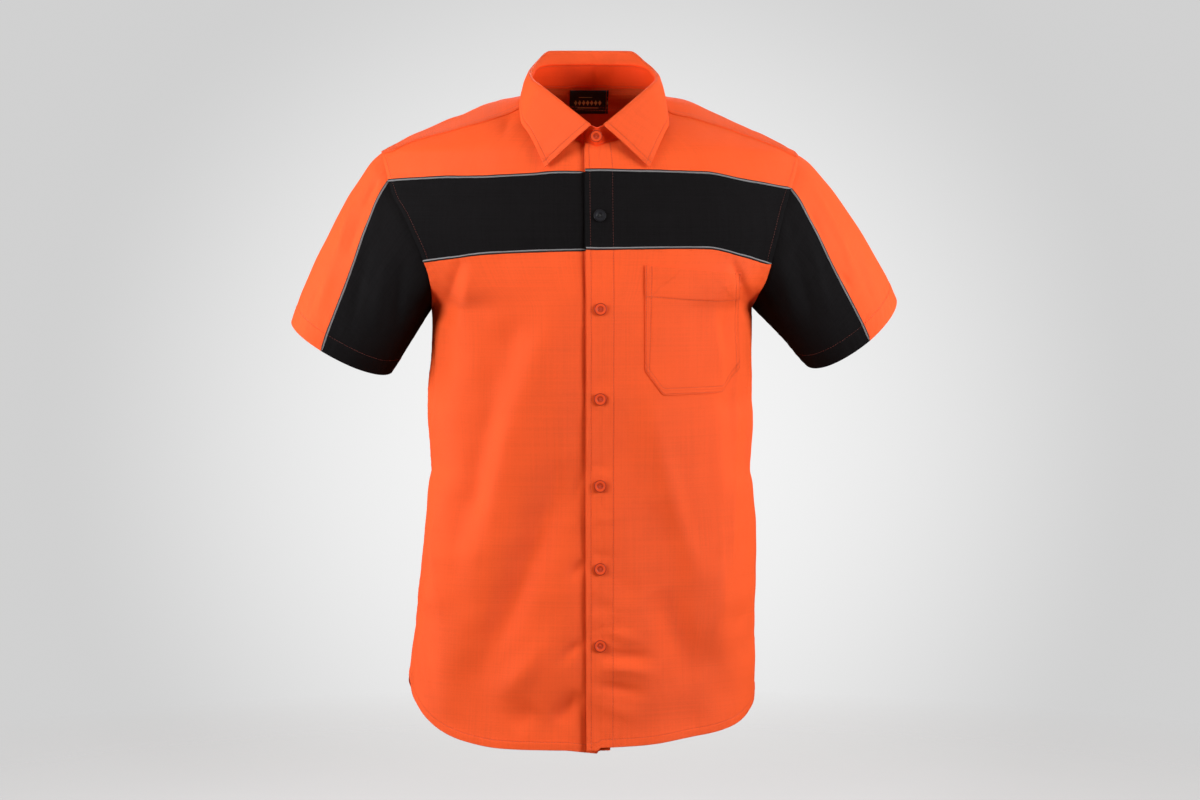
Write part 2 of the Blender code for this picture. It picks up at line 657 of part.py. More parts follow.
def arm_turns(side, part):
    """Armhole turns where the panels and the sleeve have their points."""
    marks = {"back": (-180.0, back_seam_turn(side)),
             "yoke": (back_seam_turn(side), yoke_end_turn(side)),
             "above_band": (yoke_end_turn(side), band_turn(side, "top")),
             "band": (band_turn(side, "top"), band_turn(side, "bottom")),
             "below_band": (band_turn(side, "bottom"), 180.0)}
    return np.linspace(*marks[part], ARM_STEPS[part] + 1)


def arm_chain(side, part):
    """The same places as angle and height, from the bottom up."""
    turn = arm_turns(side, part)
    turn = turn if part in ("back", "yoke") else turn[::-1]
    _, angle, z = armhole(turn, side)
    return np.stack([angle, z], -1), armhole_clearance(turn, side)


def yoke_end_turn(side):
    """Armhole turn at which the yoke's front seam arrives."""
    turn = 15.0
    for _ in range(30):
        point = armhole(turn, side)[0]
        turn = armhole_turn(float(yoke_seam[side_name(side)](abs(point[0]))), side)
    return turn


def yoke_seam_points(side):
    """Front seam of the yoke in front view, from the neck to the armhole."""
    corner = neck(YOKE_CORNER, side)
    end = armhole(yoke_end_turn(side), side)[0]
    rows = [(abs(corner[0]), corner[2])]
    rows += [(row.x, getattr(row, side_name(side))) for row in YOKE_SEAM
             if abs(corner[0]) < row.x < abs(end[0]) - 0.004]
    rows += [(abs(end[0]), end[2])]
    x = np.linspace(rows[0][0], rows[-1][0], YOKE_SEAM_STEPS + 1)
    z = smooth_curve([row[0] for row in rows], [row[1] for row in rows])(x)
    return side * x, z


def neck_stations(side):
    """Stations of the neck seam where the panels and the stand have their points."""
    behind = np.linspace(0, YOKE_CORNER, BACK_NECK_STEPS + 1)
    ahead = np.linspace(YOKE_CORNER, 1, NECK_STEPS)
    beyond = np.linspace(1, 1.15, 200)
    end = np.interp(-side * front_edge_x(side), -side * neck(beyond, side)[:, 0], beyond)
    return np.concatenate([behind, ahead[1:], [end]])


# ---------------------------------------------------------------- panels

def make_upper_front(side):
    ring = neck(neck_stations(side)[:BACK_NECK_STEPS - 1:-1], side)
    seam = front_chart(*yoke_seam_points(side))
    top = np.concatenate([front_chart(ring[:, 0], ring[:, 2]), seam[1:]])
    bottom = chain((seam_across_front(side, "top"), NECK_STEPS + YOKE_SEAM_STEPS))
    outer, away = arm_chain(side, "above_band")
    inner = np.linspace(bottom[0], top[0], len(outer))
    neck_room = [FRONT_NECK_ROOM] * NECK_STEPS + [YOKE_NECK_ROOM] + [GAP / 2] * YOKE_SEAM_STEPS
    front_panel("front_" + side_name(side) + "_upper", side, filled(bottom, top, inner, outer),
                ORANGE, first_row=GAP / 2, last_row=np.array(neck_room), last_column=away)


def make_band(side):
    top = chain((seam_across_front(side, "top"), NECK_STEPS + YOKE_SEAM_STEPS))
    bottom = chain((seam_across_front(side, "bottom"), NECK_STEPS + YOKE_SEAM_STEPS))
    outer, away = arm_chain(side, "band")
    inner = np.linspace(bottom[0], top[0], len(outer))
    front_panel("front_" + side_name(side) + "_band", side, filled(bottom, top, inner, outer),
                BLACK, first_row=GAP / 2, last_row=GAP / 2, last_column=away)


def hem_chain(first_angle, last_angle, count=80):
    angle = np.linspace(first_angle, last_angle, count)
    wrapped = (angle + 180) % 360 - 180
    return np.stack([angle, hem_z(wrapped)], -1)


def make_lower_front(side):
    steps = NECK_STEPS + YOKE_SEAM_STEPS
    top = chain((seam_across_front(side, "bottom"), steps))
    hem_start = float(girth_angle(front_edge_x(side), float(hem_z(0.0))))
    hem = hem_chain(hem_start, side * 90)
    if side < 0:
        under = form_point(hem[:, 0], hem[:, 1])[:, 0]
        hem[:, 1] -= UNDER_HEM_DROP * fade((under + LAP_FADE) / LAP_FADE)
    bottom = chain((hem, steps))
    seam = np.linspace((side * 90.0, bottom[-1, 1]), (side * 90.0, ARMPIT_Z[side]), SIDE_SEAM_STEPS + 1)
    arm, away = arm_chain(side, "below_band")
    outer = np.concatenate([seam, arm[1:]])
    share = (outer[:, 1] - outer[0, 1]) / (outer[-1, 1] - outer[0, 1])
    inner_z = bottom[0, 1] + share * (top[0, 1] - bottom[0, 1])
    inner = front_chart(np.full(len(share), front_edge_x(side)), inner_z)
    away = np.concatenate([np.full(SIDE_SEAM_STEPS, GAP / 2), away])
    front_panel("front_" + side_name(side) + "_lower", side, filled(bottom, top, inner, outer, share),
                ORANGE, last_row=GAP / 2, last_column=away)


def back_seam_turn(side):
    return -armhole_turn(YOKE_BACK_Z, side)


def make_back():
    ends, away = {}, {}
    for side in (1, -1):
        flank = 90.0 if side > 0 else 270.0
        hem_end = float(hem_z(side * 90.0))
        arm, arm_away = arm_chain(side, "back")
        arm[:, 0] = arm[:, 0] % 360
        seam = np.linspace((flank, hem_end), (flank, ARMPIT_Z[side]), SIDE_SEAM_STEPS + 1)
        ends[side] = np.concatenate([seam, arm[1:]])
        away[side] = np.concatenate([np.full(SIDE_SEAM_STEPS, GAP / 2), arm_away])
    bottom = chain((hem_chain(90, 270), BACK_STEPS))
    top_angle = np.linspace(ends[1][-1, 0], ends[-1][-1, 0], 60)
    top = chain((np.stack([top_angle, np.full(60, YOKE_BACK_Z)], -1), BACK_STEPS))
    share = (ends[1][:, 1] - ends[1][0, 1]) / (ends[1][-1, 1] - ends[1][0, 1])
    grid = filled(bottom, top, ends[1], ends[-1], share)
    points = trimmed(body(grid[..., 0], grid[..., 1]), last_row=GAP / 2,
                     first_column=away[1], last_column=away[-1])
    add_sheet("back", points, ORANGE)


def over_shoulder(points):
    """Points of the form as distance from the middle and tilt."""
    return np.stack([points[:, 0], tilt_of(points)], -1)


def make_yoke():
    """Yoke: one piece over both shoulders, with its front edge round the back of the neck."""
    halves, ends, away = {}, {}, {}
    for side in (-1, 1):
        x, z = yoke_seam_points(side)
        seam = over_shoulder(form_point(girth_angle(x, z), z))
        ring = over_shoulder(neck(neck_stations(side)[BACK_NECK_STEPS::-1], side))
        halves[side] = np.concatenate([seam[::-1], ring[1:]])
        turn = arm_turns(side, "yoke")
        ends[side] = over_shoulder(armhole(turn, side)[0])
        away[side] = armhole_clearance(turn, side)
    top = np.concatenate([halves[-1], halves[1][::-1][1:]])
    share = way_along(top, TILT_LENGTH)
    bottom_x = ends[-1][0, 0] + share * (ends[1][0, 0] - ends[-1][0, 0])
    level = np.full(bottom_x.shape, YOKE_BACK_Z)
    bottom = over_shoulder(form_point(180 - girth_angle(bottom_x, level), level))
    grid = filled(bottom, top, ends[-1], ends[1])
    seam_room = [GAP / 2] * YOKE_SEAM_STEPS
    neck_room = [YOKE_NECK_ROOM] * (2 * BACK_NECK_STEPS + 1)
    points = trimmed(shoulder(grid[..., 0], grid[..., 1]), first_row=GAP / 2,
                     last_row=np.array(seam_room + neck_room + seam_room),
                     first_column=away[-1], last_column=away[1])
    add_sheet("yoke", points, ORANGE)


def sleeve_rows():
    return np.linspace(0, 1, SLEEVE_STEPS + 1)


def seam_turn(side, along):
    """Turn of the piped seam, which starts where the band's top seam ends."""
    start, curve = band_turn(side, "top"), sleeve_seam[side_name(side)]
    return start + curve(along)


def make_sleeve(side):
    """Sleeve in two pieces: black in front, orange over the top and behind."""
    name = side_name(side)
    along = sleeve_rows()[:, None]
    front = np.concatenate([arm_turns(side, "band"), arm_turns(side, "below_band")[1:]])
    top = np.concatenate([arm_turns(side, "back"), arm_turns(side, "yoke")[1:],
                          arm_turns(side, "above_band")[1:]])
    for piece, turns, colour in (("front", front, BLACK), ("top", top, ORANGE)):
        even = np.linspace(0, 1, len(turns))[None]
        as_cut = ((turns - turns[0]) / (turns[-1] - turns[0]))[None]
        share = as_cut + (even - as_cut) * along
        seam = seam_turn(side, along)
        start, end = (seam, UNDERARM) if piece == "front" else (-UNDERARM, seam)
        turn = start + (end - start) * share
        panel = "sleeve_" + name + "_" + piece
        laid_out[panel] = sleeve(side, turn, along + 0 * turn)
        points = trimmed(laid_out[panel], first_column=GAP / 2, last_column=GAP / 2,
                         first_row=armhole_clearance(turns, side))
        add_sheet(panel, points, colour)


# ---------------------------------------------------------------- collar

def beyond_middle(curve, station, side):
    """A mirrored x, y, z table read past the middle of the front or back."""
    station = np.asarray(station, float)
    beyond = station > 1
    folded = np.where(beyond, 2 - station, station)
    x = side * curve["x"](folded) * np.where(beyond, -1, 1)
    return np.stack([x, curve["y"](folded), curve["z"](folded)], -1)


def collar_outward(station, side):
    """Level direction out of the neck."""
    ahead = neck(np.asarray(station) + 0.01, side) - neck(np.asarray(station) - 0.01, side)
    return unit(np.stack([-ahead[..., 1], ahead[..., 0], 0 * ahead[..., 0]], -1)) * side


def stand_point(station, side, share, out=0.0):
    base = neck(station, side)
    top = beyond_middle(stand_curve, station, side)
    point = base + (top - base) * np.asarray(share)[..., None]
    away = collar_outward(station, side)
    return point + away * (out + lap(side, point[..., 0]))[..., None]


def round_neck(stations):
    """Pairs of station and side from the right end, round the back, to the left end."""
    pairs = [(station, -1) for station in stations[-1][:0:-1]]
    return pairs + [(station, 1) for station in stations[1]]


def make_stand():
    stations = {side: neck_stations(side) for side in (-1, 1)}
    columns = []
    for station, side in round_neck(stations):
        to_end = abs(neck(stations[side][-1], side)[0] - neck(station, side)[0])
        corner = 1 - min(to_end / STAND_END_ROUND, 1)
        height = 1 - STAND_END_DROP * (1 - math.sqrt(1 - corner * corner))
        columns.append([stand_point(np.array(station), side, np.array(share * height))
                        for share in STAND_SHARES])
    points = np.array(columns).transpose(1, 0, 2)
    room = NECK_ROOM + LAP_ROOM * np.clip(lap(1, points[0, :, 0]) / LAP, 0, 1)
    points = trimmed(points, first_row=room)
    add_sheet("collar_stand", points, ORANGE)


def leaf_section(station, side):
    """Points across the leaf: up from the stand, over the roll and down to the edge."""
    top = stand_point(np.array(station), side, np.array(1.0))
    name = side_name(side)
    roll = np.array([side * leaf_curve[name](station), leaf_curve["y"](station), leaf_curve["z"](station)])
    edge = shoulder(side * leaf_curve["edge_" + name](station), leaf_curve["edge_tilt"](station),
                    leaf_curve["lift"](station))
    away = collar_outward(np.array(station), side)
    up = np.array([0, 0, 1.0])
    start = top + up * (CLOTH / 2 + GAP)
    over = roll + away * LEAF_FOLD - up * LEAF_FOLD
    inside = roll - away * LEAF_FOLD * 0.6 - up * LEAF_FOLD
    points = [start, (start + inside) / 2, inside, roll, over]
    for share in (0.2, 0.4, 0.6, 0.8, 1.0):
        bow = LEAF_BOW * math.sin(math.pi * share) ** 0.8
        points.append(over + (edge - over) * share + away * bow)
    return points


def make_leaf():
    stations = {side: np.append(neck_stations(side)[:-2], LEAF[-1].station) for side in (-1, 1)}
    columns = [leaf_section(*place) for place in round_neck(stations)]
    points = np.array(columns).transpose(1, 0, 2)
    add_sheet("collar_leaf", points, ORANGE)


# ---------------------------------------------------------------- what is sewn on

ON_TOP = CLOTH / 2 + GAP + TRIM / 2


def make_pocket():
    """Patch pocket: its outline is five cuts through the lower left front."""
    cut_x, cut_z = POCKET_CHAMFER
    width = POCKET_OUTER - POCKET_INNER
    slope = (POCKET_TOP[1] - POCKET_TOP[0]) / width
    cuts = (((POCKET_INNER, 0, 0), (-1, 0, 0)),
            ((POCKET_OUTER, 0, 0), (1, 0, 0)),
            ((POCKET_INNER, 0, POCKET_TOP[0]), (-slope, 0, 1)),
            ((0, 0, POCKET_BOTTOM), (0, 0, -1)),
            ((POCKET_INNER, 0, POCKET_BOTTOM + cut_z), (-cut_z, 0, -cut_x)),
            ((POCKET_OUTER, 0, POCKET_BOTTOM + cut_z), (cut_z, 0, -cut_x)))
    add_patch("pocket", "front_left_lower", cuts, ON_TOP, ORANGE)


def between(points, share):
    """The point part of the way from the first to the second of a line's points."""
    return points[0] + (points[1] - points[0]) * share


def add_piping(name, above, seam, below, first_x=None):
    """A narrow strip on a seam, bent with the panels on its two sides.

    `above` and `below` are the panels' next points beside the seam's."""
    lines = np.array([above, seam, below])
    if first_x is not None:
        start = int(np.argmax(seam[:, 0] < first_x)) - 1
        lines = lines[:, start:]
        share = (first_x - lines[1, 0, 0]) / (lines[1, 1, 0] - lines[1, 0, 0])
        lines[:, 0] = [between(line, share) for line in lines]
    lines[:, -1] = [between(line[::-1], PIPING_END) for line in lines]
    above, seam, below = lines
    tangent = np.gradient(seam, axis=0)
    up, down = unit(above - seam), unit(below - seam)
    faces = [unit(np.cross(tangent, way)) for way in (up, -down)]
    faces = [face * -np.sign(face[:, 1:2]) for face in faces]
    ridge = unit(faces[0] + faces[1])
    half = PIPING_WIDTH / 2
    rows = (seam + up * half + faces[0] * ON_TOP, seam + ridge * ON_TOP, seam + down * half + faces[1] * ON_TOP)
    add_sheet(name, np.array(rows), GREY, wall=TRIM)


def make_band_piping(side):
    name = "front_" + side_name(side)
    upper, band, lower = (laid_out[name + part] for part in ("_upper", "_band", "_lower"))
    first_x = OVER_EDGE - PIPING_WIDTH if side < 0 else None
    add_piping("piping_" + side_name(side) + "_top", upper[1], band[-1], band[-2], first_x)
    add_piping("piping_" + side_name(side) + "_bottom", band[1], band[0], lower[-2], first_x)


def make_sleeve_piping(side):
    name = side_name(side)
    top, front = (laid_out["sleeve_" + name + part] for part in ("_top", "_front"))
    lines = [top[::-1, -2], front[::-1, 0], front[::-1, 1]]
    add_piping("piping_sleeve_" + name, *lines)


def make_label(name, x_range, colour):
    """A patch inside the back of the neck, hanging from the neck seam."""
    cuts = (((x_range[0], 0, 0), (-1, 0, 0)), ((x_range[1], 0, 0), (1, 0, 0)),
            ((0, 0, LABEL_Z[0]), (0, 0, 1)), ((0, 0, LABEL_Z[1]), (0, 0, -1)))
    add_patch(name, "yoke", cuts, -ON_TOP, colour)


def button_mesh():
    """A button's turned shape: a rim round a dished middle."""
    inner = BUTTON_RADIUS - BUTTON_RIM
    half = BUTTON_THICK / 2
    profile = ((0.0, half - BUTTON_DISH), (inner, half - BUTTON_DISH), (inner + BUTTON_RIM * 0.4, half),
               (BUTTON_RADIUS, half * 0.35), (BUTTON_RADIUS * 0.82, -half), (0.0, -half))
    turned = bmesh.new()
    verts = [turned.verts.new((radius, 0, height)) for radius, height in profile]
    edges = [turned.edges.new(pair) for pair in zip(verts, verts[1:])]
    bmesh.ops.spin(turned, geom=verts + edges, cent=(0, 0, 0), axis=(0, 0, 1), dvec=(0, 0, 0),
                   angle=2 * math.pi, steps=16, use_merge=True)
    bmesh.ops.remove_doubles(turned, verts=turned.verts, dist=1e-6)
    bmesh.ops.recalc_face_normals(turned, faces=turned.faces)
    mesh = bpy.data.meshes.new("button")
    turned.to_mesh(mesh)
    turned.free()
    return mesh


def place_button(name, place, normal, colour):
    """A button whose back lies just over the cloth."""
    piece = add_object(name, button_mesh(), colour, 0.35)
    piece.location = place + normal * (CLOTH / 2 + GAP + BUTTON_THICK / 2)
    piece.rotation_mode = "QUATERNION"
    piece.rotation_quaternion = normal.to_track_quat("Z", "Y")


def make_buttons():
    place, normal = on_panel("collar_stand", COLLAR_BUTTON_X, COLLAR_BUTTON_Z)
    place_button("button_collar", place, normal, ORANGE_DARK)
    for number, height in enumerate(FRONT_BUTTON_HEIGHTS, 1):
        panel = "front_left_band" if number == 1 else "front_left_lower"
        place, normal = on_panel(panel, FRONT_BUTTON_X, height)
        place_button("button_front_%d" % number, place, normal, BLACK if number == 1 else ORANGE_DARK)


def build():
    for old in list(bpy.data.objects):
        bpy.data.objects.remove(old, do_unlink=True)
    shirt = bpy.data.collections.new("mechanic_shirt")
    bpy.context.scene.collection.children.link(shirt)
    for side in (-1, 1):
        make_upper_front(side)
        make_band(side)
        make_lower_front(side)
        make_sleeve(side)
        make_band_piping(side)
        make_sleeve_piping(side)
    make_back()
    make_yoke()
    make_stand()
    make_leaf()
    make_pocket()
    make_label("neck_label", LABEL_X, BLACK)
    make_label("size_tab", TAB_X, BLACK)
    make_buttons()


build()
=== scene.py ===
"""Dresses the mechanic shirt: cloth panels with their folds and seams, piping, collar,
pocket, labels, buttons and stitching, then the studio and the camera. Metres, +Z up,
the shirt's front towards -Y, the wearer's left towards +X."""
import math
from collections import namedtuple
from functools import partialmethod

import bmesh
import bpy
import numpy as np
from mathutils import Matrix, Vector


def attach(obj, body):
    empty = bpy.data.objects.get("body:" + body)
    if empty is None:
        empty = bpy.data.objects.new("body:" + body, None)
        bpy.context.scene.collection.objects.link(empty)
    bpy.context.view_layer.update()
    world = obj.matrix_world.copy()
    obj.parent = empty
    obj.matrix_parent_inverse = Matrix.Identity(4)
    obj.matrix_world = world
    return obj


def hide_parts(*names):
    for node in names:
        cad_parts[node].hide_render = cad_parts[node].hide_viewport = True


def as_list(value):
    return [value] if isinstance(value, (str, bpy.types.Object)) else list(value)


Crease = namedtuple("Crease", "side x0 z0 x1 z1 width height bow")
RIGHT, LEFT = IN_FRONT, BEHIND = -1, 1     # the wearer's sides, and the shirt's


def table(columns, *rows):
    """Rows of numbers with named columns."""
    Row = namedtuple("Row", columns)
    return [Row(*row) for row in rows]


def creases(side, *rows):
    """Folds or creases of one side, from (x0, z0) to (x1, z1), with half their width, their
    height (a trough's is negative) and their bow, all in millimetres; no bow is 0."""
    return [Crease(side, *(value / 1000 for value in row), *[0.0] * (7 - len(row)))
            for row in rows]


# How the fronts lap
LAP = 0.0010             # a lapped front stands this far off the form, one out, one in
LAP_FLAT = 0.015         # half width over which the fronts lap
LAP_FADE = 0.040         # and where both are back on the form
OVER_EDGE = -0.0132      # the left front ends here, on top
UNDER_EDGE = 0.0130      # the right front ends here, underneath

# Buttons
BUTTON_RADIUS = 0.0070
BUTTON_THICK = 0.0028
BUTTON_RIM = 0.0012
BUTTON_EYE = 0.00104     # from its middle to an eye's middle, each way
BUTTON_EYE_DEPTH = 0.0011
BUTTON_THREAD = 0.00055  # width of the threads that cross it, four in two pairs
BUTTON_THREAD_SHIFT = 0.00035
BUTTON_THREAD_LENGTH = 0.0034
COLLAR_BUTTON_X = -0.0007
COLLAR_BUTTON_Z = -0.0470
FRONT_BUTTON_X = 0.0020
FRONT_BUTTON_HEIGHTS = (-0.1351, -0.2366, -0.3352, -0.4310, -0.5229, -0.6078)

# Labels inside the neck
LABEL_X = (-0.0235, 0.0190)
LABEL_Z = (0.0090, -0.0170)
TAB_X = (0.0196, 0.0216)

# Level sections of the body: half widths to the wearer's right and left, depths to the
# front and back, and how square the section is (2 is an ellipse)
SECTIONS = table(
    "z right left front back square",
    (0.06, 0.066, 0.066, 0.03, 0.052, 2.0), (0.012, 0.069, 0.069, 0.036, 0.058, 2.0),
    (0.0, 0.079, 0.079, 0.043, 0.066, 1.9), (-0.0045, 0.1025, 0.102, 0.046, 0.069, 1.85),
    (-0.0225, 0.148, 0.144, 0.06, 0.079, 1.8), (-0.04, 0.1915, 0.1835, 0.077, 0.087, 1.8),
    (-0.05, 0.213, 0.204, 0.085, 0.091, 1.85), (-0.065, 0.238, 0.2315, 0.095, 0.096, 1.9),
    (-0.09, 0.247, 0.243, 0.103, 0.102, 2.0), (-0.12, 0.25, 0.248, 0.11, 0.107, 2.2),
    (-0.15, 0.249, 0.248, 0.117, 0.111, 2.35), (-0.18, 0.24, 0.24, 0.122, 0.113, 2.4),
    (-0.21, 0.216, 0.216, 0.126, 0.114, 2.4), (-0.238, 0.182, 0.181, 0.128, 0.114, 2.4),
    (-0.27, 0.1815, 0.1805, 0.1285, 0.113, 2.4), (-0.345, 0.186, 0.1795, 0.127, 0.109, 2.4),
    (-0.42, 0.183, 0.1795, 0.124, 0.105, 2.4), (-0.505, 0.1915, 0.185, 0.124, 0.106, 2.4),
    (-0.6, 0.2005, 0.1845, 0.127, 0.112, 2.4), (-0.68, 0.2105, 0.185, 0.131, 0.119, 2.4),
    (-0.77, 0.215, 0.184, 0.135, 0.124, 2.4))
SHOULDER_AXIS_Z = -0.12  # tilts over the shoulders are measured about this level line
ANGLE_LENGTH = (0.0025, 1.0)   # metres to a degree round the body, and to a unit of height
TILT_LENGTH = (1.0, 0.0022)    # and to a unit across, and a degree of tilt

# Neck seam, from centre back (0) to centre front (1): distance from the middle, and tilt
NECK = table(
    "station x tilt",
    (0.0, 0.0, 24.0), (0.1, 0.0265, 22.5), (0.2, 0.048, 18.0), (0.3, 0.064, 10.5),
    (0.4, 0.072, 0.0), (0.5, 0.0748, -10.0), (0.58, 0.0755, -19.0), (0.68, 0.069, -28.0),
    (0.78, 0.0565, -37.0), (0.88, 0.0375, -47.0), (1.0, 0.0, -56.6))
YOKE_CORNER = 0.58       # station where the yoke's front seam meets the neck

# Yoke's front seam, by distance from the middle
YOKE_SEAM = table(
    "x right left",
    (0.0867, -0.0179, -0.0222), (0.1054, -0.0253, -0.0261), (0.1277, -0.033, -0.0318),
    (0.15, -0.0386, -0.0388), (0.1723, -0.0441, -0.0465), (0.1947, -0.0507, -0.0545),
    (0.215, -0.0588, -0.063), (0.23, -0.065, -0.0705))
YOKE_BACK_Z = -0.100     # level of the yoke's back seam

# Armhole seam in front view
ARMHOLE = table(
    "z right left",
    (-0.08, 0.2333, 0.229), (-0.095, 0.2297, 0.2235), (-0.112, 0.2248, 0.2168),
    (-0.132, 0.2138, 0.2098), (-0.156, 0.2027, 0.203), (-0.181, 0.1918, 0.196),
    (-0.207, 0.1838, 0.1893), (-0.225, 0.1818, 0.1822))
SHOULDER_TIP_Z = {-1: -0.0640, 1: -0.0660}
ARMPIT_Z = {-1: -0.2385, 1: -0.2370}

# Seams of the chest band, by distance from the middle
BAND = table(
    "x top_right bottom_right top_left bottom_left",
    (0.0, -0.087, -0.172, -0.085, -0.1712), (0.04, -0.087, -0.1726, -0.0855, -0.1704),
    (0.08, -0.09, -0.174, -0.0861, -0.17), (0.12, -0.0922, -0.176, -0.088, -0.1702),
    (0.16, -0.0923, -0.1808, -0.0947, -0.1786), (0.2, -0.0938, -0.1862, -0.1015, -0.1885),
    (0.24, -0.0972, -0.19, -0.109, -0.189))

# Hem, by angle round from centre front (0) to the side seam (90) and centre back (180)
HEM = table(
    "angle right left",
    (0, -0.7235, -0.7203), (15, -0.723, -0.7188), (30, -0.7222, -0.7135), (42, -0.7168, -0.7092),
    (52, -0.707, -0.7043), (60, -0.6945, -0.699), (68, -0.68, -0.6918), (78, -0.668, -0.685),
    (90, -0.66, -0.68), (102, -0.673, -0.685), (114, -0.7, -0.701), (126, -0.723, -0.719),
    (140, -0.737, -0.735), (160, -0.746, -0.745), (180, -0.748, -0.748))
UNDER_HEM_DROP = 0.0035  # the right front hangs lower where it is lapped

# Largest folds of the body, in front or back view
FOLDS = (
    creases(IN_FRONT,
        (-150, -190, -166, -245, 11, -3), (-50, -250, -155, -600, 40, 5),
        (-100, -280, -150, -470, 26, -5), (-50, -450, -140, -700, 30, -5.5),
        (-172, -440, -176, -560, 18, 4.5), (70, -340, 130, -580, 30, 4.5),
        (75, -490, 100, -690, 26, -5), (160, -440, 155, -560, 20, 3.5),
        (150, -190, 172, -240, 11, -2.5), (140, -250, 150, -340, 18, -3.5))
    + creases(BEHIND,
        (-100, -170, -60, -420, 34, 5.5), (95, -180, 50, -400, 32, 5),
        (-150, -200, -120, -330, 20, -5), (150, -200, 125, -340, 20, -5),
        (-10, -380, -60, -700, 34, -6), (80, -400, 110, -700, 32, -5),
        (-110, -440, -130, -700, 30, 5), (30, -460, 40, -700, 30, 5.5)))
FOLD_END = 0.25          # share of a fold's length over which each end fades
FACING_FADE = 0.04       # depth over which folds fade from one face of the shirt to the other

# Sleeves: cuff seen from the front as a chord from its outer to its inner point, the
# degrees its opening turns to the front, and the share its front is pushed outwards
Cuff = namedtuple("Cuff", "outer_x outer_z inner_x inner_z centre_y turn push crown")
CUFFS = {
    -1: Cuff(0.3382, -0.2525, 0.2290, -0.3120, -0.004, 12.5, 0.05, 0.0103),
    1: Cuff(0.3455, -0.2290, 0.2435, -0.3025, -0.004, 15.5, -0.14, 0.0105),
}
CUFF_DEPTH = 0.0600      # half the cuff's opening from front to back
SLEEVE_LENGTH = 0.165    # about, for its net and its weave
SLEEVE_RADIUS = 0.058
SLEEVE_FULLNESS = 0.0060 # how far its middle is blown out
# Height of the sleeve's top line over the straight line from shoulder tip to cuff
CROWN = table(
    "along height",
    (0.0, 0.0), (0.08, 0.5), (0.18, 0.75), (0.3, 0.98), (0.4, 1.0), (0.52, 0.96), (0.66, 0.86),
    (0.84, 0.58), (1.0, 0.0))
# How far the piped sleeve seam turns towards the underarm on its way to the cuff
SLEEVE_SEAM = table(
    "along right left",
    (0.0, 0.0, 0.0), (0.2, 9.0, 8.0), (0.45, 17.0, 15.0), (0.72, 22.5, 18.5), (1.0, 26.0, 20.0))
UNDERARM = 180.0

# Top edge of the collar stand, by the neck's stations
STAND = table(
    "station x y z",
    (0.0, 0.0, 0.05, 0.0385), (0.1, 0.0255, 0.0458, 0.038), (0.2, 0.0452, 0.0345, 0.0372),
    (0.3, 0.0595, 0.0155, 0.0335), (0.4, 0.067, -0.008, 0.0255), (0.5, 0.0692, -0.028, 0.0185),
    (0.58, 0.0688, -0.0445, 0.0105), (0.68, 0.0642, -0.059, -0.0015),
    (0.78, 0.0522, -0.073, -0.0125), (0.88, 0.0342, -0.0875, -0.025), (1.0, 0.0, -0.098, -0.0385))
STAND_END_ROUND = 0.012
STAND_END_DROP = 0.6

# Collar leaf: its roll line, then its outer edge as a place over the shoulders
LEAF = table(
    "station right left y z edge_right edge_left edge_tilt lift",
    (0.0, 0.0, 0.0, 0.0545, 0.0535, 0.0, 0.0, 28.5, 0.006),
    (0.1, 0.0265, 0.0262, 0.0515, 0.0533, 0.0325, 0.032, 26.5, 0.0055),
    (0.2, 0.0462, 0.045, 0.041, 0.0525, 0.056, 0.054, 20.5, 0.005),
    (0.3, 0.0612, 0.0596, 0.019, 0.04, 0.0705, 0.067, 11.0, 0.0045),
    (0.4, 0.0692, 0.0684, -0.0055, 0.03, 0.0765, 0.0725, 0.0, 0.004),
    (0.5, 0.0712, 0.071, -0.028, 0.0235, 0.08, 0.0765, -11.0, 0.0035),
    (0.58, 0.0692, 0.0692, -0.046, 0.0175, 0.0825, 0.08, -21.2, 0.0032),
    (0.68, 0.0622, 0.0622, -0.064, 0.0105, 0.0815, 0.081, -34.7, 0.0032),
    (0.78, 0.049, 0.049, -0.078, -0.0005, 0.074, 0.075, -45.4, 0.0034),
    (0.88, 0.032, 0.032, -0.0905, -0.0145, 0.065, 0.0655, -58.5, 0.0036),
    (0.97, 0.0075, 0.0075, -0.1005, -0.0345, 0.057, 0.057, -69.3, 0.004))
LEAF_FOLD = 0.0017       # half thickness of the rolled edge
LEAF_BOW = 0.0016

# Pocket on the wearer's left, in front view
POCKET_INNER = 0.0514
POCKET_OUTER = 0.1600
POCKET_TOP = (-0.1890, -0.1985)
POCKET_BOTTOM = -0.3312
POCKET_CHAMFER = (0.0190, 0.0270)

# ---------------------------------------------------------------- curves

def hermite(t, width, first, second, first_slope, second_slope):
    """A cubic between two values with the given slopes, for t from 0 to 1."""
    return ((1 + 2 * t) * (1 - t) ** 2 * first + t * (1 - t) ** 2 * width * first_slope
            + t * t * (3 - 2 * t) * second + t * t * (t - 1) * width * second_slope)


def smooth_curve(places, values):
    """A curve through the values that never swings past them."""
    order = np.argsort(places)
    places, values = np.asarray(places, float)[order], np.asarray(values, float)[order]
    step = np.diff(places)
    slope = np.diff(values) / step
    tangent = np.zeros(len(places))
    tangent[0], tangent[-1] = slope[0], slope[-1]
    for k in range(1, len(places) - 1):
        if slope[k - 1] * slope[k] > 0:
            before, after = 2 * step[k] + step[k - 1], step[k] + 2 * step[k - 1]
            tangent[k] = (before + after) / (before / slope[k - 1] + after / slope[k])

    def at(place):
        place = np.clip(place, places[0], places[-1])
        k = np.clip(np.searchsorted(places, place) - 1, 0, len(step) - 1)
        return hermite((place - places[k]) / step[k], step[k], values[k], values[k + 1],
                       tangent[k], tangent[k + 1])
    return at


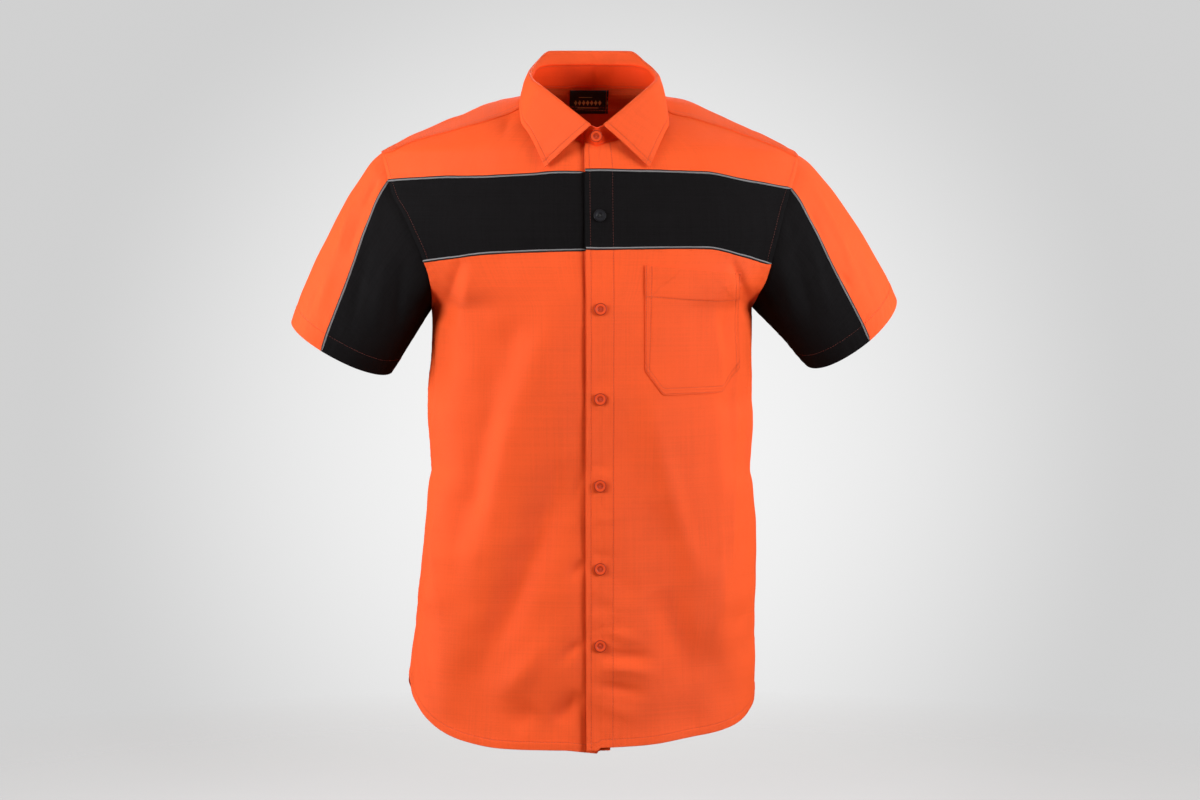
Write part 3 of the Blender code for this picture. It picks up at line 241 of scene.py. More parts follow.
def column_curves(rows):
    """One smooth curve for each column of a table, over its first column."""
    first = [row[0] for row in rows]
    return {name: smooth_curve(first, [getattr(row, name) for row in rows])
            for name in rows[0]._fields[1:]}


def fade(value):
    """0 to 1, level at both ends."""
    t = np.clip(value, 0.0, 1.0)
    return t * t * (3 - 2 * t)


def unit(vectors):
    return vectors / np.linalg.norm(vectors, axis=-1, keepdims=True)


def side_name(side):
    return "left" if side > 0 else "right"


def front_names(side):
    """Names of a front's three pieces."""
    return ["front_%s_%s" % (side_name(side), part) for part in ("upper", "band", "lower")]


def way_of(points):
    """Distance along a line of points, or along each line of a grid's first axis."""
    steps = np.linalg.norm(np.diff(points, axis=0), axis=-1)
    return np.concatenate([0 * steps[:1], np.cumsum(steps, 0)])


section = column_curves(SECTIONS)
neck_curve = column_curves(NECK)
yoke_seam = column_curves(YOKE_SEAM)
band_seam = column_curves(BAND)
hem_curve = column_curves(HEM)
crown_curve = column_curves(CROWN)
sleeve_seam = column_curves(SLEEVE_SEAM)
stand_curve = column_curves(STAND)
leaf_curve = column_curves(LEAF)


# ---------------------------------------------------------------- the body's form

def half_width(x, z):
    return np.where(np.asarray(x) < 0, section["right"](z), section["left"](z))


def half_depth(y, z):
    return np.where(np.asarray(y) < 0, section["front"](z), section["back"](z))


def form_point(angle, z):
    """Angle in degrees round from centre front, + to the wearer's left, and height."""
    turn = np.radians(np.asarray(angle, float))
    z = np.asarray(z, float)
    power = section["square"](z)
    reach = (np.abs(np.sin(turn)) ** power + np.abs(np.cos(turn)) ** power) ** (-1 / power)
    x = half_width(np.sin(turn), z) * np.sin(turn) * reach
    y = -half_depth(-np.cos(turn), z) * np.cos(turn) * reach
    return np.stack(np.broadcast_arrays(x, y, z), -1)


def girth_angle(x, z):
    """Angle of the front point at this distance from the middle."""
    share = np.clip(np.abs(x) / half_width(x, z), 0.0, 1.0 - 1e-9)
    power = section["square"](z)
    rise = share ** power
    return np.sign(x) * np.degrees(np.arctan((rise / (1 - rise)) ** (1 / power)))


def by_line(row, across, up):
    """Places beside a crease's line: share of the way along it, distance off it, its length."""
    run_x, run_z = row.x1 - row.x0, row.z1 - row.z0
    length = math.hypot(run_x, run_z)
    along = ((across - row.x0) * run_x + (up - row.z0) * run_z) / length ** 2
    return along, ((across - row.x0) * run_z - (up - row.z0) * run_x) / length, length


def fold_height(points):
    """What the folds add at points of the form."""
    x, y, z = points[..., 0], points[..., 1], points[..., 2]
    total = np.zeros_like(x)
    for fold in FOLDS:
        along, across, _ = by_line(fold, x, z)
        ends = fade(along / FOLD_END + 1) * fade((1 - along) / FOLD_END + 1)
        facing = fade(0.5 + fold.side * y / FACING_FADE)
        total += fold.height * np.exp(-(across / fold.width) ** 2) * ends * facing
    return total


def chart_normal(chart, first, second, first_step, second_step):
    """Unit normal of a chart, away from the shirt's inside."""
    a = chart(first + first_step, second) - chart(first - first_step, second)
    b = chart(first, second + second_step) - chart(first, second - second_step)
    return unit(np.cross(a, b))


def on_form(chart):
    """Form points of the body and their normals, at places given as angle and height."""
    angle, z = chart[..., 0], chart[..., 1]
    return form_point(angle, z), chart_normal(form_point, angle, z, 0.05, 0.0004)


def shoulder_form(x, tilt):
    """Form point over the shoulders at a distance from the middle and a tilt."""
    x, tilt = np.broadcast_arrays(np.asarray(x, float), np.radians(np.asarray(tilt, float)))
    near, far = np.zeros(x.shape), np.full(x.shape, 0.30)
    for _ in range(44):
        middle = (near + far) / 2
        y = middle * np.sin(tilt)
        z = SHOULDER_AXIS_Z + middle * np.cos(tilt)
        power = section["square"](z)
        reach = (np.abs(x) / half_width(x, z)) ** power + (np.abs(y) / half_depth(y, z)) ** power
        inside = reach < 1
        near, far = np.where(inside, middle, near), np.where(inside, far, middle)
    return np.stack([x, near * np.sin(tilt), SHOULDER_AXIS_Z + near * np.cos(tilt)], -1)


def on_shoulders(x, tilt):
    """Form points over the shoulders and their normals."""
    return shoulder_form(x, tilt), chart_normal(shoulder_form, x, tilt, 0.0005, 0.25)


def shoulder(x, tilt, out=0.0):
    """Cloth over the shoulders, moved out by `out`."""
    point, normal = on_shoulders(*np.broadcast_arrays(np.asarray(x, float),
                                                      np.asarray(tilt, float)))
    return point + normal * (fold_height(point) + out)[..., None]


def tilt_of(point):
    return np.degrees(np.arctan2(point[..., 1], point[..., 2] - SHOULDER_AXIS_Z))


def lap(side, x):
    """How far a front, or its end of the stand, stands off the form at x."""
    return side * LAP * fade((LAP_FADE - side * np.asarray(x)) / (LAP_FADE - LAP_FLAT))


# ---------------------------------------------------------------- seams

def past_middle(curves, station, side):
    """A neck table's x, and the station to read its other columns at: past station 1 the
    table runs on beyond the middle, mirrored."""
    station = np.asarray(station, float)
    folded = np.where(station > 1, 2 - station, station)
    return side * curves["x"](folded) * np.where(station > 1, -1, 1), folded


def neck(station, side):
    """Point of the neck seam."""
    x, station = past_middle(neck_curve, station, side)
    return shoulder_form(x, neck_curve["tilt"](station))


def armhole(turn, side):
    """Point of the armhole seam: 0 at the shoulder tip, 90 in front, 180 at the armpit."""
    turn = np.radians(np.asarray(turn, float))
    top, bottom = SHOULDER_TIP_Z[side], ARMPIT_Z[side]
    z = (top + bottom) / 2 + (top - bottom) / 2 * np.cos(turn)
    name = side_name(side)
    rows = [(top, float(section[name](top)))]
    rows += [(row.z, getattr(row, name)) for row in ARMHOLE]
    rows += [(bottom, float(section[name](bottom)))]
    x = smooth_curve([row[0] for row in rows], [row[1] for row in rows])(z)
    angle = girth_angle(side * x, z)
    angle = np.where(np.sin(turn) < 0, side * 180 - angle, angle)
    return form_point(angle, z), angle, z


def armhole_turn(z, side):
    """Turn at which the front of the armhole seam has a height."""
    top, bottom = SHOULDER_TIP_Z[side], ARMPIT_Z[side]
    return np.degrees(np.arccos(np.clip((z - (top + bottom) / 2) / ((top - bottom) / 2), -1, 1)))


def band_z(x, edge, side):
    return band_seam[edge + "_" + side_name(side)](np.abs(x))


def hem_z(angle):
    """Hem height at an angle from -180 to 180."""
    angle = np.asarray(angle, float)
    return np.where(angle < 0, hem_curve["right"](-angle), hem_curve["left"](angle))


def front_chart(x, z):
    """Points in front view as angle and height."""
    return np.stack([girth_angle(x, z), np.asarray(z, float) + 0 * np.asarray(x)], -1)


def way_along(points, lengths):
    """Share of a chain's length at each chart point; `lengths` are metres per chart unit."""
    way = way_of(points * np.array(lengths))
    return way / way[-1]


# ---------------------------------------------------------------- sleeves

def cuff(turn, side):
    shape = CUFFS[side]
    outer = np.array([shape.outer_x * side, shape.centre_y, shape.outer_z])
    inner = np.array([shape.inner_x * side, shape.centre_y, shape.inner_z])
    across = (outer - inner) / 2
    lean = math.radians(shape.turn)
    down = np.array([across[2] * side, 0, -across[0] * side])
    down = down / np.linalg.norm(down) * math.sin(lean)
    forward = (down + np.array([0, -math.cos(lean), 0])) * CUFF_DEPTH + across * shape.push
    turn = np.radians(np.asarray(turn, float))[..., None]
    return (outer + inner) / 2 + np.cos(turn) * across + np.sin(turn) * forward


def sleeve_form(side):
    """Chart of one sleeve: turn as at the armhole, and share of the way to the cuff."""
    tip, _, _ = armhole(0.0, side)
    line = unit(cuff(0.0, side) - tip)
    crown_way = np.array([-line[2] * side, 0, line[0] * side])
    height = CUFFS[side].crown

    def at(turn, along):
        turn, along = np.broadcast_arrays(np.asarray(turn, float), np.asarray(along, float))
        seam, _, _ = armhole(turn, side)
        share = along[..., None]
        point = (1 - share) * seam + share * cuff(turn, side)
        swell = crown_curve["height"](along)[..., None]
        over = (1 + np.cos(np.radians(turn)))[..., None] / 2
        ahead = np.sin(np.radians(turn))[..., None]
        point = point + swell * over * height * crown_way
        return point + swell * ahead * SLEEVE_FULLNESS * np.array([0, -1, 0])
    return at


def sleeve(side, turn, along):
    """Points of a sleeve's form and their normals."""
    at = sleeve_form(side)
    turn, along = np.broadcast_arrays(np.asarray(turn, float), np.asarray(along, float))
    return at(turn, along), chart_normal(at, turn, np.clip(along, 0.01, 0.99), 0.4, 0.008) * side


# ---------------------------------------------------------------- fine folds and seams

WALL = 0.0011            # cloth of a panel
STAND_WALL = 0.0020      # collar stand, with its lining
LEAF_WALL = 0.0014       # collar leaf
TRIM_WALL = 0.0009       # pocket
LABEL_WALL = 0.0006

# Creases of the cloth, in front or back view; the bow is how far the middle swings sideways
CREASES = (
    creases(IN_FRONT,
        (-144.2, -191.7, -149.1, -336.2, 16.5, 3.2), (129.7, -194.2, 139, -337.2, 14.3, 2.6),
        (-165.8, -413.1, -173.2, -628.9, 13.2, 4.3), (136.9, -359.3, 136.5, -603.6, 13.2, 4.3),
        (-56.9, -246.5, -156.4, -570.1, 16.5, 4.3, 2.2),
        (-107.4, -330.8, -140.9, -512.6, 14.3, -3.8, 6.6),
        (-121.9, -413.3, -136.3, -468.4, 13.2, -2.4),
        (-41.7, -424.8, -132.4, -632.6, 16.5, -6.4, -5.5),
        (-55.2, -602.1, -108.3, -668.4, 13.2, 4.3), (-68.5, -675.5, -97.3, -699.8, 14.3, -4.9),
        (-19.8, -658.1, -46.4, -693.6, 9.9, -5.2), (-16.5, -602.4, -41.9, -628.9, 5.5, -3.2, 2.2),
        (-16.4, -513.5, -30.8, -533.3, 5.5, -2.6), (-15.3, -413.8, -28.5, -446.9, 5.5, -1.2),
        (-152.9, -187.3, -164, -226.6, 5, -1.2, -1.1), (-162.9, -228.8, -175, -252.8, 5.5, -0.8),
        (-139.8, -185.2, -148.8, -259.5, 6.6, 1.6),
        (-174.5, -413.1, -170.7, -558.9, 4.4, 2.6, 3.3),
        (-186.7, -446.1, -191.7, -600.9, 6.6, -2.3), (-194.9, -578.7, -187.7, -672.2, 4.4, 2.6),
        (-201.6, -596.4, -191.8, -612, 4.4, -2), (55.1, -334.7, 119.7, -547.7, 12.1, 3.8, 4.4),
        (81.7, -381.2, 112.9, -514.3, 13.2, -2.9, 2.2), (68.7, -547.4, 113.3, -652.6, 17.6, -5.8),
        (129.9, -243.6, 140.1, -328.4, 5, 2.1, -1.1), (142, -246.9, 142.1, -284.3, 4.4, -1.6),
        (157.6, -276.7, 150.4, -447.9, 4.4, 2.6, -3.3), (151.4, -425.7, 147.3, -527.9, 4.4, 3.2),
        (139.5, -514.5, 126.5, -603.5, 8.8, 2.3), (150.6, -185.5, 161.8, -214, 5, -2.4),
        (136.3, -192.1, 125.4, -227.1, 5.5, -1), (112.2, -227.1, 101.3, -284.2, 8.8, -1.2),
        (162.8, -196.5, 173.9, -222.8, 5.5, 1.2), (2.3, -590.3, 46.6, -602.9, 5.5, 1.9),
        (-2.1, -614.7, 64.4, -623.1, 5.5, -2.9), (-2.1, -632.6, 59.9, -639.8, 5.5, 2.9, -2.2),
        (-6.5, -649.3, 51.1, -661, 6.6, -3.5), (-4.3, -671.6, 46.7, -687.8, 7.7, 2),
        (-8.7, -407.3, 15.5, -409.6, 3.3, -0.8), (-8.7, -419.4, 17.7, -422.9, 4.4, 0.7),
        (-8.7, -465.8, 17.8, -469.3, 3.3, 0.9), (-8.7, -504.6, 15.6, -509.2, 3.9, -1.2),
        (-8.7, -546.8, 16.7, -553.7, 4.4, 1), (-8.7, -562.4, 15.6, -567, 3.9, -1.2),
        (-8.7, -577.9, 17.8, -584.8, 4.4, 1), (-8.7, -314.7, 15.5, -318.1, 3.9, -0.6),
        (-8.7, -270.8, 15.5, -275.2, 4.4, 0.4), (-93.9, -20.9, -102.8, -47.2, 4.4, -1.6),
        (-141.4, -692.7, 131.2, -688.6, 33, -4.2), (113.1, -599, 151.2, -688.8, 17.6, -3.2),
        (-141.2, -612.5, -150.2, -685.9, 17.6, -2.2), (2.3, -513.6, 46.6, -558.3, 11, -1.2),
        (-63.9, -513.1, -86.1, -601.8, 11, 1.4), (-150, -230, -60, -236, 20, 2),
        (70, -234, 145, -228, 15, 1.8))
    + creases(BEHIND,
        (-85, -130, -60, -600, 20, 6.3, 5), (80, -140, 55, -660, 18, 6, -6),
        (-30, -260, -45, -660, 15, -4.8), (20, -320, 18, -700, 14, -4.5, 4),
        (-150, -230, -85, -300, 7, -3.6, 3), (-148, -255, -100, -325, 6, 2.4),
        (150, -230, 92, -286, 7, -3.6, -3), (-132, -410, -40, -450, 9, -3.3, 4),
        (-122, -440, -52, -472, 8, 2.7), (50, -450, 142, -405, 9, -3.6),
        (62, -480, 130, -445, 7, 2.3), (-120, -500, -135, -720, 15, 4.8),
        (115, -480, 130, -710, 14, 4.5), (-10, -520, -5, -740, 12, 3.6),
        (80, -600, 85, -730, 11, -3.3), (-100, -105, -98, -165, 6, 2.3),
        (95, -105, 100, -158, 6, 2.3), (-70, -106, -66, -140, 5, -1.6)))
# The same down the flanks, drawn from the side, with y for x
FLANK_CREASES = (
    creases(RIGHT,
        (-56, -270, -32, -420, 8, 2.2), (-20, -258, -35, -360, 7, -2.4, 3),
        (28, -265, 56, -400, 8.5, 2.4), (60, -360, 36, -580, 10, -2.6, 4),
        (-62, -450, -46, -690, 11, 2.6), (16, -470, 24, -690, 10, 2.2, -4),
        (-52, -402, 18, -436, 7, -1.1), (-40, -395, -37, -565, 5, 3.4),
        (8, -386, 66, -408, 6.5, 1.6), (-18, -520, -22, -680, 8, -2))
    + creases(LEFT,
        (-60, -280, -40, -430, 8, 2.2), (-15, -260, -28, -350, 6.5, -2.4),
        (25, -262, 50, -390, 8, 2.2, -3), (64, -380, 42, -560, 10, -2.6),
        (-56, -490, -42, -680, 10, 2.4), (20, -450, 18, -670, 11, 2.4, 4),
        (-46, -430, 24, -418, 7, -1), (-36, -285, -60, -500, 5.2, 3.6),
        (14, -434, 64, -412, 6, 1.5), (-15, -540, -20, -670, 8, -1.8)))
SLEEVE_CREASES = (
    creases(IN_FRONT,
        (-270.2, -123.2, -289.5, -186.4, 5, 3, 1.1), (-291.7, -186.4, -308.7, -242.1, 6.7, 2.6),
        (-241.2, -93.2, -256.9, -124.3, 4.5, -2.6), (-259.2, -133.1, -276.1, -182, 4.5, -1.8),
        (-304, -206.4, -322.1, -248.7, 4.5, -1.4), (-248.3, -162, -271.1, -262.2, 6.7, -2.6, 2.2),
        (-230.6, -178.7, -246.6, -262.3, 7.8, 2.6), (-212.8, -178.7, -221, -262.3, 6.7, -3),
        (-239.2, -117.6, -248.2, -157.6, 5.6, 1.6), (247.2, -106.4, 276.9, -162.4, 5, 3),
        (273.4, -148.9, 290.7, -200.6, 5, 2.4), (273.7, -199.4, 287.4, -215.2, 3.9, -1.9),
        (237.1, -119.8, 256.6, -164.6, 4.5, -1.8), (296.2, -187.1, 312.3, -229.8, 4.5, -1.4),
        (219.3, -162.4, 244.7, -263.4, 6.7, -2.6), (202.5, -173.5, 225.4, -263.4, 7.8, 2.6),
        (232.8, -145.6, 262.7, -250, 5.6, 1.9), (214.7, -134.4, 221.6, -162.4, 5.6, -1.9))
    + creases(BEHIND,
        (-235, -90, -270, -170, 6, 3.1), (-250, -150, -295, -225, 6.5, -2.6),
        (-195, -150, -225, -250, 7, -3.4, 2), (-185, -185, -205, -250, 6, 2.9),
        (-250, -220, -270, -275, 6, 2.1), (232, -90, 270, -160, 6, 3.1),
        (255, -140, 300, -220, 6.5, -2.6), (195, -145, 235, -240, 7, -3.4, -2),
        (188, -185, 212, -250, 6, 2.9)))

# Long soft waves of the cloth: length of the wave, direction of travel in degrees from
# level, height, and where it starts
WAVES = table(
    "length turn height start",
    (0.071, 17.0, 0.00035, 0.4), (0.053, -24.0, 0.0003, 1.9), (0.094, 62.0, 0.0003, 3.1),
    (0.038, -71.0, 0.00018, 5.2), (0.029, 8.0, 0.00014, 2.2), (0.121, -8.0, 0.0005, 0.9))

# Ways a panel's edge is sewn: how deep its turning is, how much it stands up there, the
# stitch lines in from the edge, and the height of its puckers
Seam = namedtuple("Seam", "depth rise stitches pucker")
HEM_SEAM = Seam(0.0095, 0.00055, (0.0088,), 0.00045)
CUFF_SEAM = Seam(0.0205, 0.00055, (0.0200,), 0.00035)
ARMHOLE_SEAM = Seam(0.0075, 0.00045, (0.0062,), 0.00035)
YOKE_SEWN = Seam(0.0070, 0.00080, (0.0018, 0.0066), 0.00035)
SIDE_SEAM = Seam(0.0060, 0.00030, (), 0.00050)
PIPED_SEAM = Seam(0.0060, 0.00025, (), 0.00040)
PLAIN_SEAM = Seam(0.0040, -0.00020, (), 0.00030)
SLEEVE_HEAD = Seam(0.0030, -0.00030, (), 0.00045)
PLACKET = Seam(0.0312, 0.00045, (0.0052, 0.0302), 0.00035)
UNDER_PLACKET = Seam(0.0300, 0.00030, (0.0280,), 0.00030)
LEAF_EDGE = Seam(0.0060, 0.00010, (0.0058,), 0.00022)
STAND_EDGE = Seam(0.0030, 0.00005, (0.0024,), 0.00010)
POCKET_HEM = Seam(0.0345, 0.00050, (0.0340,), 0.00020)
POCKET_EDGE = Seam(0.0080, 0.00020, (0.0014, 0.0076), 0.00018)


GROOVE_DEPTH = 0.00028   # of a stitch line, drawn into the cloth
GROOVE_WIDTH = 0.0011
SEAM_FADE = 0.0022       # over which the turned cloth thins out
PUCKER_REACH = 0.009     # how far in the puckers of a narrow seam fade away
PUCKER_START = 0.004     # and how far in they are full


def ripple(along, seed, length=0.0105):
    """Uneven puckers along a seam, between -1 and 1."""
    first = np.sin(2 * math.pi * along / length + seed * 2.1 + 1.6 * np.sin(along / 0.017 + seed))
    second = np.sin(2 * math.pi * along / (length * 1.73) + seed * 4.7)
    swell = 0.55 + 0.45 * np.sin(along / 0.031 + seed * 1.3) * np.sin(along / 0.083 + seed)
    return (0.65 * first + 0.35 * second) * swell


def seam_height(seam, inward, along, seed):
    """What a sewn edge adds at a distance inwards from it and a way along it."""
    flat = seam.rise * fade((seam.depth - inward) / SEAM_FADE + 0.5)
    reach = max(seam.depth, PUCKER_REACH)
    middle = seam.depth * 0.6
    puckers = seam.pucker * ripple(along, seed) * np.exp(-((inward - middle) / reach) ** 2)
    height = flat + puckers * fade(inward / PUCKER_START + 0.15)
    for line in seam.stitches:
        height -= GROOVE_DEPTH * np.exp(-((inward - line) / GROOVE_WIDTH) ** 2)
    return height


def crease_height(rows, across, up, facing):
    """Height of drawn creases at places (across, up); `facing` is 1 where they apply."""
    total = np.zeros_like(across)
    for row in rows:
        along, offset, length = by_line(row, across, up)
        inside = np.clip(along, 0, 1)
        offset = offset - row.bow * 4 * inside * (1 - inside)
        past = np.where(along < 0, -along, np.maximum(along - 1, 0)) * length
        taper = np.sin(math.pi * np.clip(inside * 0.94 + 0.03, 0, 1)) ** 0.8
        total += row.height * taper * np.exp(-(offset / row.width) ** 2
                                             - (past / row.width) ** 2) * facing(row)
    return total


FLANK_FROM = 0.118       # distance from the middle at which the flanks' creases begin
FLANK_FADE = 0.030
BACK_WAVES = 0.45        # the waves behind are those this far on, mirrored


def body_relief(points):
    """Creases and waves of the body's cloth."""
    x, y, z = points[..., 0], points[..., 1], points[..., 2]
    total = crease_height(CREASES, x, z, lambda row: fade(0.5 + row.side * y / FACING_FADE))
    total += crease_height(FLANK_CREASES, y, z,
                           lambda row: fade((row.side * x - FLANK_FROM) / FLANK_FADE))
    way = np.where(y < 0, x, BACK_WAVES - x)
    for wave in WAVES:
        turn = math.radians(wave.turn)
        travel = way * math.cos(turn) + z * math.sin(turn)
        total += wave.height * np.sin(2 * math.pi * travel / wave.length + wave.start
                                      + 0.9 * np.sin(z / 0.061 + wave.start))
    return total


# ---------------------------------------------------------------- nets

def shares_of(length, first=(), last=(), pitch=0.0034, marks=()):
    """Shares of a length, close together near its ends, that hit the given marks."""
    ahead = [value for value in first if value < length * 0.3]
    behind = [length - value for value in last if value < length * 0.3][::-1]
    start, end = (ahead or [0.0])[-1], (behind or [length])[0]
    stops = [start] + [mark * length for mark in marks] + [end]
    middle = []
    for low, high in zip(stops, stops[1:]):
        count = max(int(round((high - low) / pitch)), 1)
        middle += list(np.linspace(low, high, count + 1)[:-1])
    return np.array(ahead[:-1] + middle + [end] + behind[1:]) / length


CLOSE = (0.0, 0.0007, 0.0016, 0.0028, 0.0042, 0.0056, 0.0070, 0.0084, 0.0100, 0.0120, 0.0145)
FINE = (0.0, 0.0008, 0.0020, 0.0036, 0.0056, 0.0080, 0.0110)


def along_chain(points, shares, lengths=ANGLE_LENGTH):
    """Points at shares of a chain's way."""
    way = way_along(points, lengths)
    return np.stack([np.interp(shares, way, points[:, k]) for k in range(2)], -1)


def along_parts(parts, shares, lengths=ANGLE_LENGTH):
    """As along_chain, for chains that meet: each is (points, share at which it ends)."""
    rows, start = [], 0.0
    for points, end in parts:
        inside = (shares >= start - 1e-9) & ((shares < end - 1e-9) | (end >= 1))
        rows.append(along_chain(points, (shares[inside] - start) / (end - start), lengths))
        start = end
    return np.concatenate(rows)


def coons(bottom, top, start, end, across, up):
    """Chart grid between four chains, at shares across and up."""
    u, v = across[None, :, None], up[:, None, None]
    ruled = (1 - v) * bottom[None] + v * top[None] + (1 - u) * start[:, None] + u * end[:, None]
    corners = ((1 - u) * (1 - v) * bottom[0] + u * (1 - v) * bottom[-1]
               + (1 - u) * v * top[0] + u * v * top[-1])
    return ruled - corners


def net_normals(points):
    """Unit normals of a grid of points."""
    return unit(np.cross(np.gradient(points, axis=1), np.gradient(points, axis=0)))


def ways(points):
    """Distance of each point of a grid from its four edges, along the grid's lines."""
    from_start = way_of(points.transpose(1, 0, 2)).T
    from_bottom = way_of(points)
    return {"start": from_start, "end": from_start[:, -1:] - from_start,
            "bottom": from_bottom, "top": from_bottom[-1:] - from_bottom}


def sewn(points, out, edges, seed):
    """Raises a grid of points along `out` where its edges are turned and stitched."""
    far = ways(points)
    height = np.zeros(points.shape[:2])
    for number, (edge, seam) in enumerate(sorted(edges.items())):
        along = far["start"] if edge in ("bottom", "top") else far["bottom"]
        height += seam_height(seam, far[edge], along, seed + 1.7 * number)
    return points + out * height[..., None]


def stitch_map(points, edges):
    """At each point, how far it lies from the nearest stitch line, and the way along it."""
    far = ways(points)
    best = np.full(points.shape[:2] + (2,), 0.5)
    for edge, seam in edges.items():
        along = far["start"] if edge in ("bottom", "top") else far["bottom"]
        for line in seam.stitches:
            off = far[edge] - line
            nearer = np.abs(off) < np.abs(best[..., 0])
            best[nearer] = np.stack([off, along], -1)[nearer]
    return best


class Net:
    """A laid-out piece of cloth: its grid of points, outward normals and wall."""

    def __init__(self, points, wall, flipped):
        self.points, self.wall, self.flipped = points, wall, flipped
        self.normals = net_normals(points)
        self.far = ways(points)

    def line(self, edge, inward):
        """Points and normals along a line at a distance in from an edge."""
        if self.flipped:
            edge = {"start": "end", "end": "start"}.get(edge, edge)
        places, normals, far = self.points, self.normals, self.far[edge]
        if edge in ("bottom", "top"):
            places, normals, far = places.transpose(1, 0, 2), normals.transpose(1, 0, 2), far.T
        if edge in ("end", "top"):
            places, normals, far = places[:, ::-1], normals[:, ::-1], far[:, ::-1]
        both = np.concatenate([places, normals], -1)
        rows = np.array([[np.interp(inward, away, line[:, k]) for k in range(6)]
                         for line, away in zip(both, far)])
        return rows[:, :3], unit(rows[:, 3:])


nets = {}


def as_mesh(name, cells, smooth=True):
    mesh = bpy.data.meshes.new(name)
    cells.to_mesh(mesh)
    cells.free()
    mesh.polygons.foreach_set("use_smooth", np.full(len(mesh.polygons), smooth))
    return mesh


def cloth_mesh(name, points, maps):
    """A mesh of quads laid on a grid of points, with its UV maps in metres."""
    rows, columns = points.shape[:2]
    cells = bmesh.new()
    bmesh.ops.create_grid(cells, x_segments=columns - 1, y_segments=rows - 1, size=1.0)
    mesh = as_mesh(name, cells)
    flat = np.empty(len(mesh.vertices) * 3)
    mesh.vertices.foreach_get("co", flat)
    flat = flat.reshape(-1, 3)
    column = np.rint((flat[:, 0] + 1) / 2 * (columns - 1)).astype(int)
    row = np.rint((flat[:, 1] + 1) / 2 * (rows - 1)).astype(int)
    mesh.vertices.foreach_set("co", points[row, column].ravel())
    corner = np.empty(len(mesh.loops), int)
    mesh.loops.foreach_get("vertex_index", corner)
    for layer, values in maps.items():
        uv = mesh.uv_layers.new(name=layer)
        uv.data.foreach_set("uv", values[row, column][corner].astype(np.float32).ravel())
    mesh.update()
    return mesh


def add_piece(name, mesh, finish, slot, node=None):
    piece = place_object(name, mesh)
    piece.data.materials.append(finish)
    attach(piece, "root")
    if node:
        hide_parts(node)
    return piece


def cut_size(points):
    """Width, length and area of the flat cloth that a net is cut from, in metres."""
    width, length = (way_of(net)[-1].max() for net in (points.transpose(1, 0, 2), points))
    corners = np.cross(points[1:, 1:] - points[:-1, :-1], points[1:, :-1] - points[:-1, 1:])
    return float(width), float(length), float(np.linalg.norm(corners, axis=-1).sum() / 2)


LEAST_SHEET = 0.010      # least width and length that lay_cloth tests a net's cut size against


def lay_cloth(name, points, weave, finish, slot, edges=None, wall=WALL, held="hung", rests_on=()):
    """Makes a node's cloth on its grid of points, outside up."""
    centre = np.array([0, 0, SHOULDER_AXIS_Z])
    if name.startswith("sleeve"):
        centre = points.reshape(-1, 3).mean(0) - np.array([0, 0, 0.03])
    stitched = stitch_map(points, edges or {})
    flipped = np.sum(net_normals(points) * (points - centre)) < 0
    if flipped:
        points, weave, stitched = points[:, ::-1], weave[:, ::-1], stitched[:, ::-1]
    nets[name] = Net(points, wall, flipped)
    mesh = cloth_mesh(name, points, {"weave": weave, "stitch": stitched})
    piece = add_piece(name + "_cloth", mesh, finish, slot, name)
    shell = piece.modifiers.new("wall", "SOLIDIFY")
    shell.thickness = wall
    shell.offset = 0.0
    width, length, area = cut_size(points)
    if min(width, length) > LEAST_SHEET:
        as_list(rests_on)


# ---------------------------------------------------------------- panels

PLACKET_STEPS = (0.0, 0.0007, 0.0016, 0.0030, 0.0044, 0.0052, 0.0061, 0.0080, 0.0105, 0.0135,
                 0.0165, 0.0195, 0.0225, 0.0255, 0.0280, 0.0293, 0.0302, 0.0312, 0.0325, 0.0345)
CUFF_STEPS = (0.0, 0.0007, 0.0018, 0.0036, 0.0060, 0.0090, 0.0120, 0.0150, 0.0175, 0.0191,
              0.0200, 0.0210, 0.0224, 0.0250)
CORNER_SHARE = 7 / 16    # of an upper front's width, at the yoke's corner


CALM_SHARE = 0.04        # share of an edge over which calm ends past a stretch
CALM_WAY = 0.016         # distance in from the edge over which it ends


def calm(points, spots, across, up):
    """0 along the named stretches of a grid's edges, 1 away from them."""
    far, factor = ways(points), np.ones(points.shape[:2])
    for edge, low, high in spots:
        place = across[None, :] if edge in ("bottom", "top") else up[:, None]
        beside = (fade((place - low) / CALM_SHARE + 1)
                  * fade((high - place) / CALM_SHARE + 1))
        factor = factor * (1 - beside * (1 - fade(far[edge] / CALM_WAY)))
    return factor


def clothed(form, normal, lift, spots, across, up, edges, seed):
    """Cloth over form points: folds, creases, seams and what it is lifted by."""
    drape = (fold_height(form) + body_relief(form)) * calm(form, spots, across, up)
    points = form + normal * (drape + lift)[..., None]
    return sewn(points, normal, edges, seed)


def girth_way(angle):
    """Metres round the body from centre front at an angle, at chest level."""
    turns = np.degrees(np.radians(np.linspace(-20, 380, 801)))
    way = way_of(form_point(turns, np.full(801, -0.30)))
    return np.interp(angle, turns, way - np.interp(0.0, turns, way))


def body_weave(grid):
    """The weave's UV map: metres round the body and up."""
    angle, z = grid[..., 0], grid[..., 1]
    way = np.where(angle < -20, -girth_way(-angle), girth_way(np.abs(angle)) * np.sign(angle))
    return np.stack([way, z], -1)


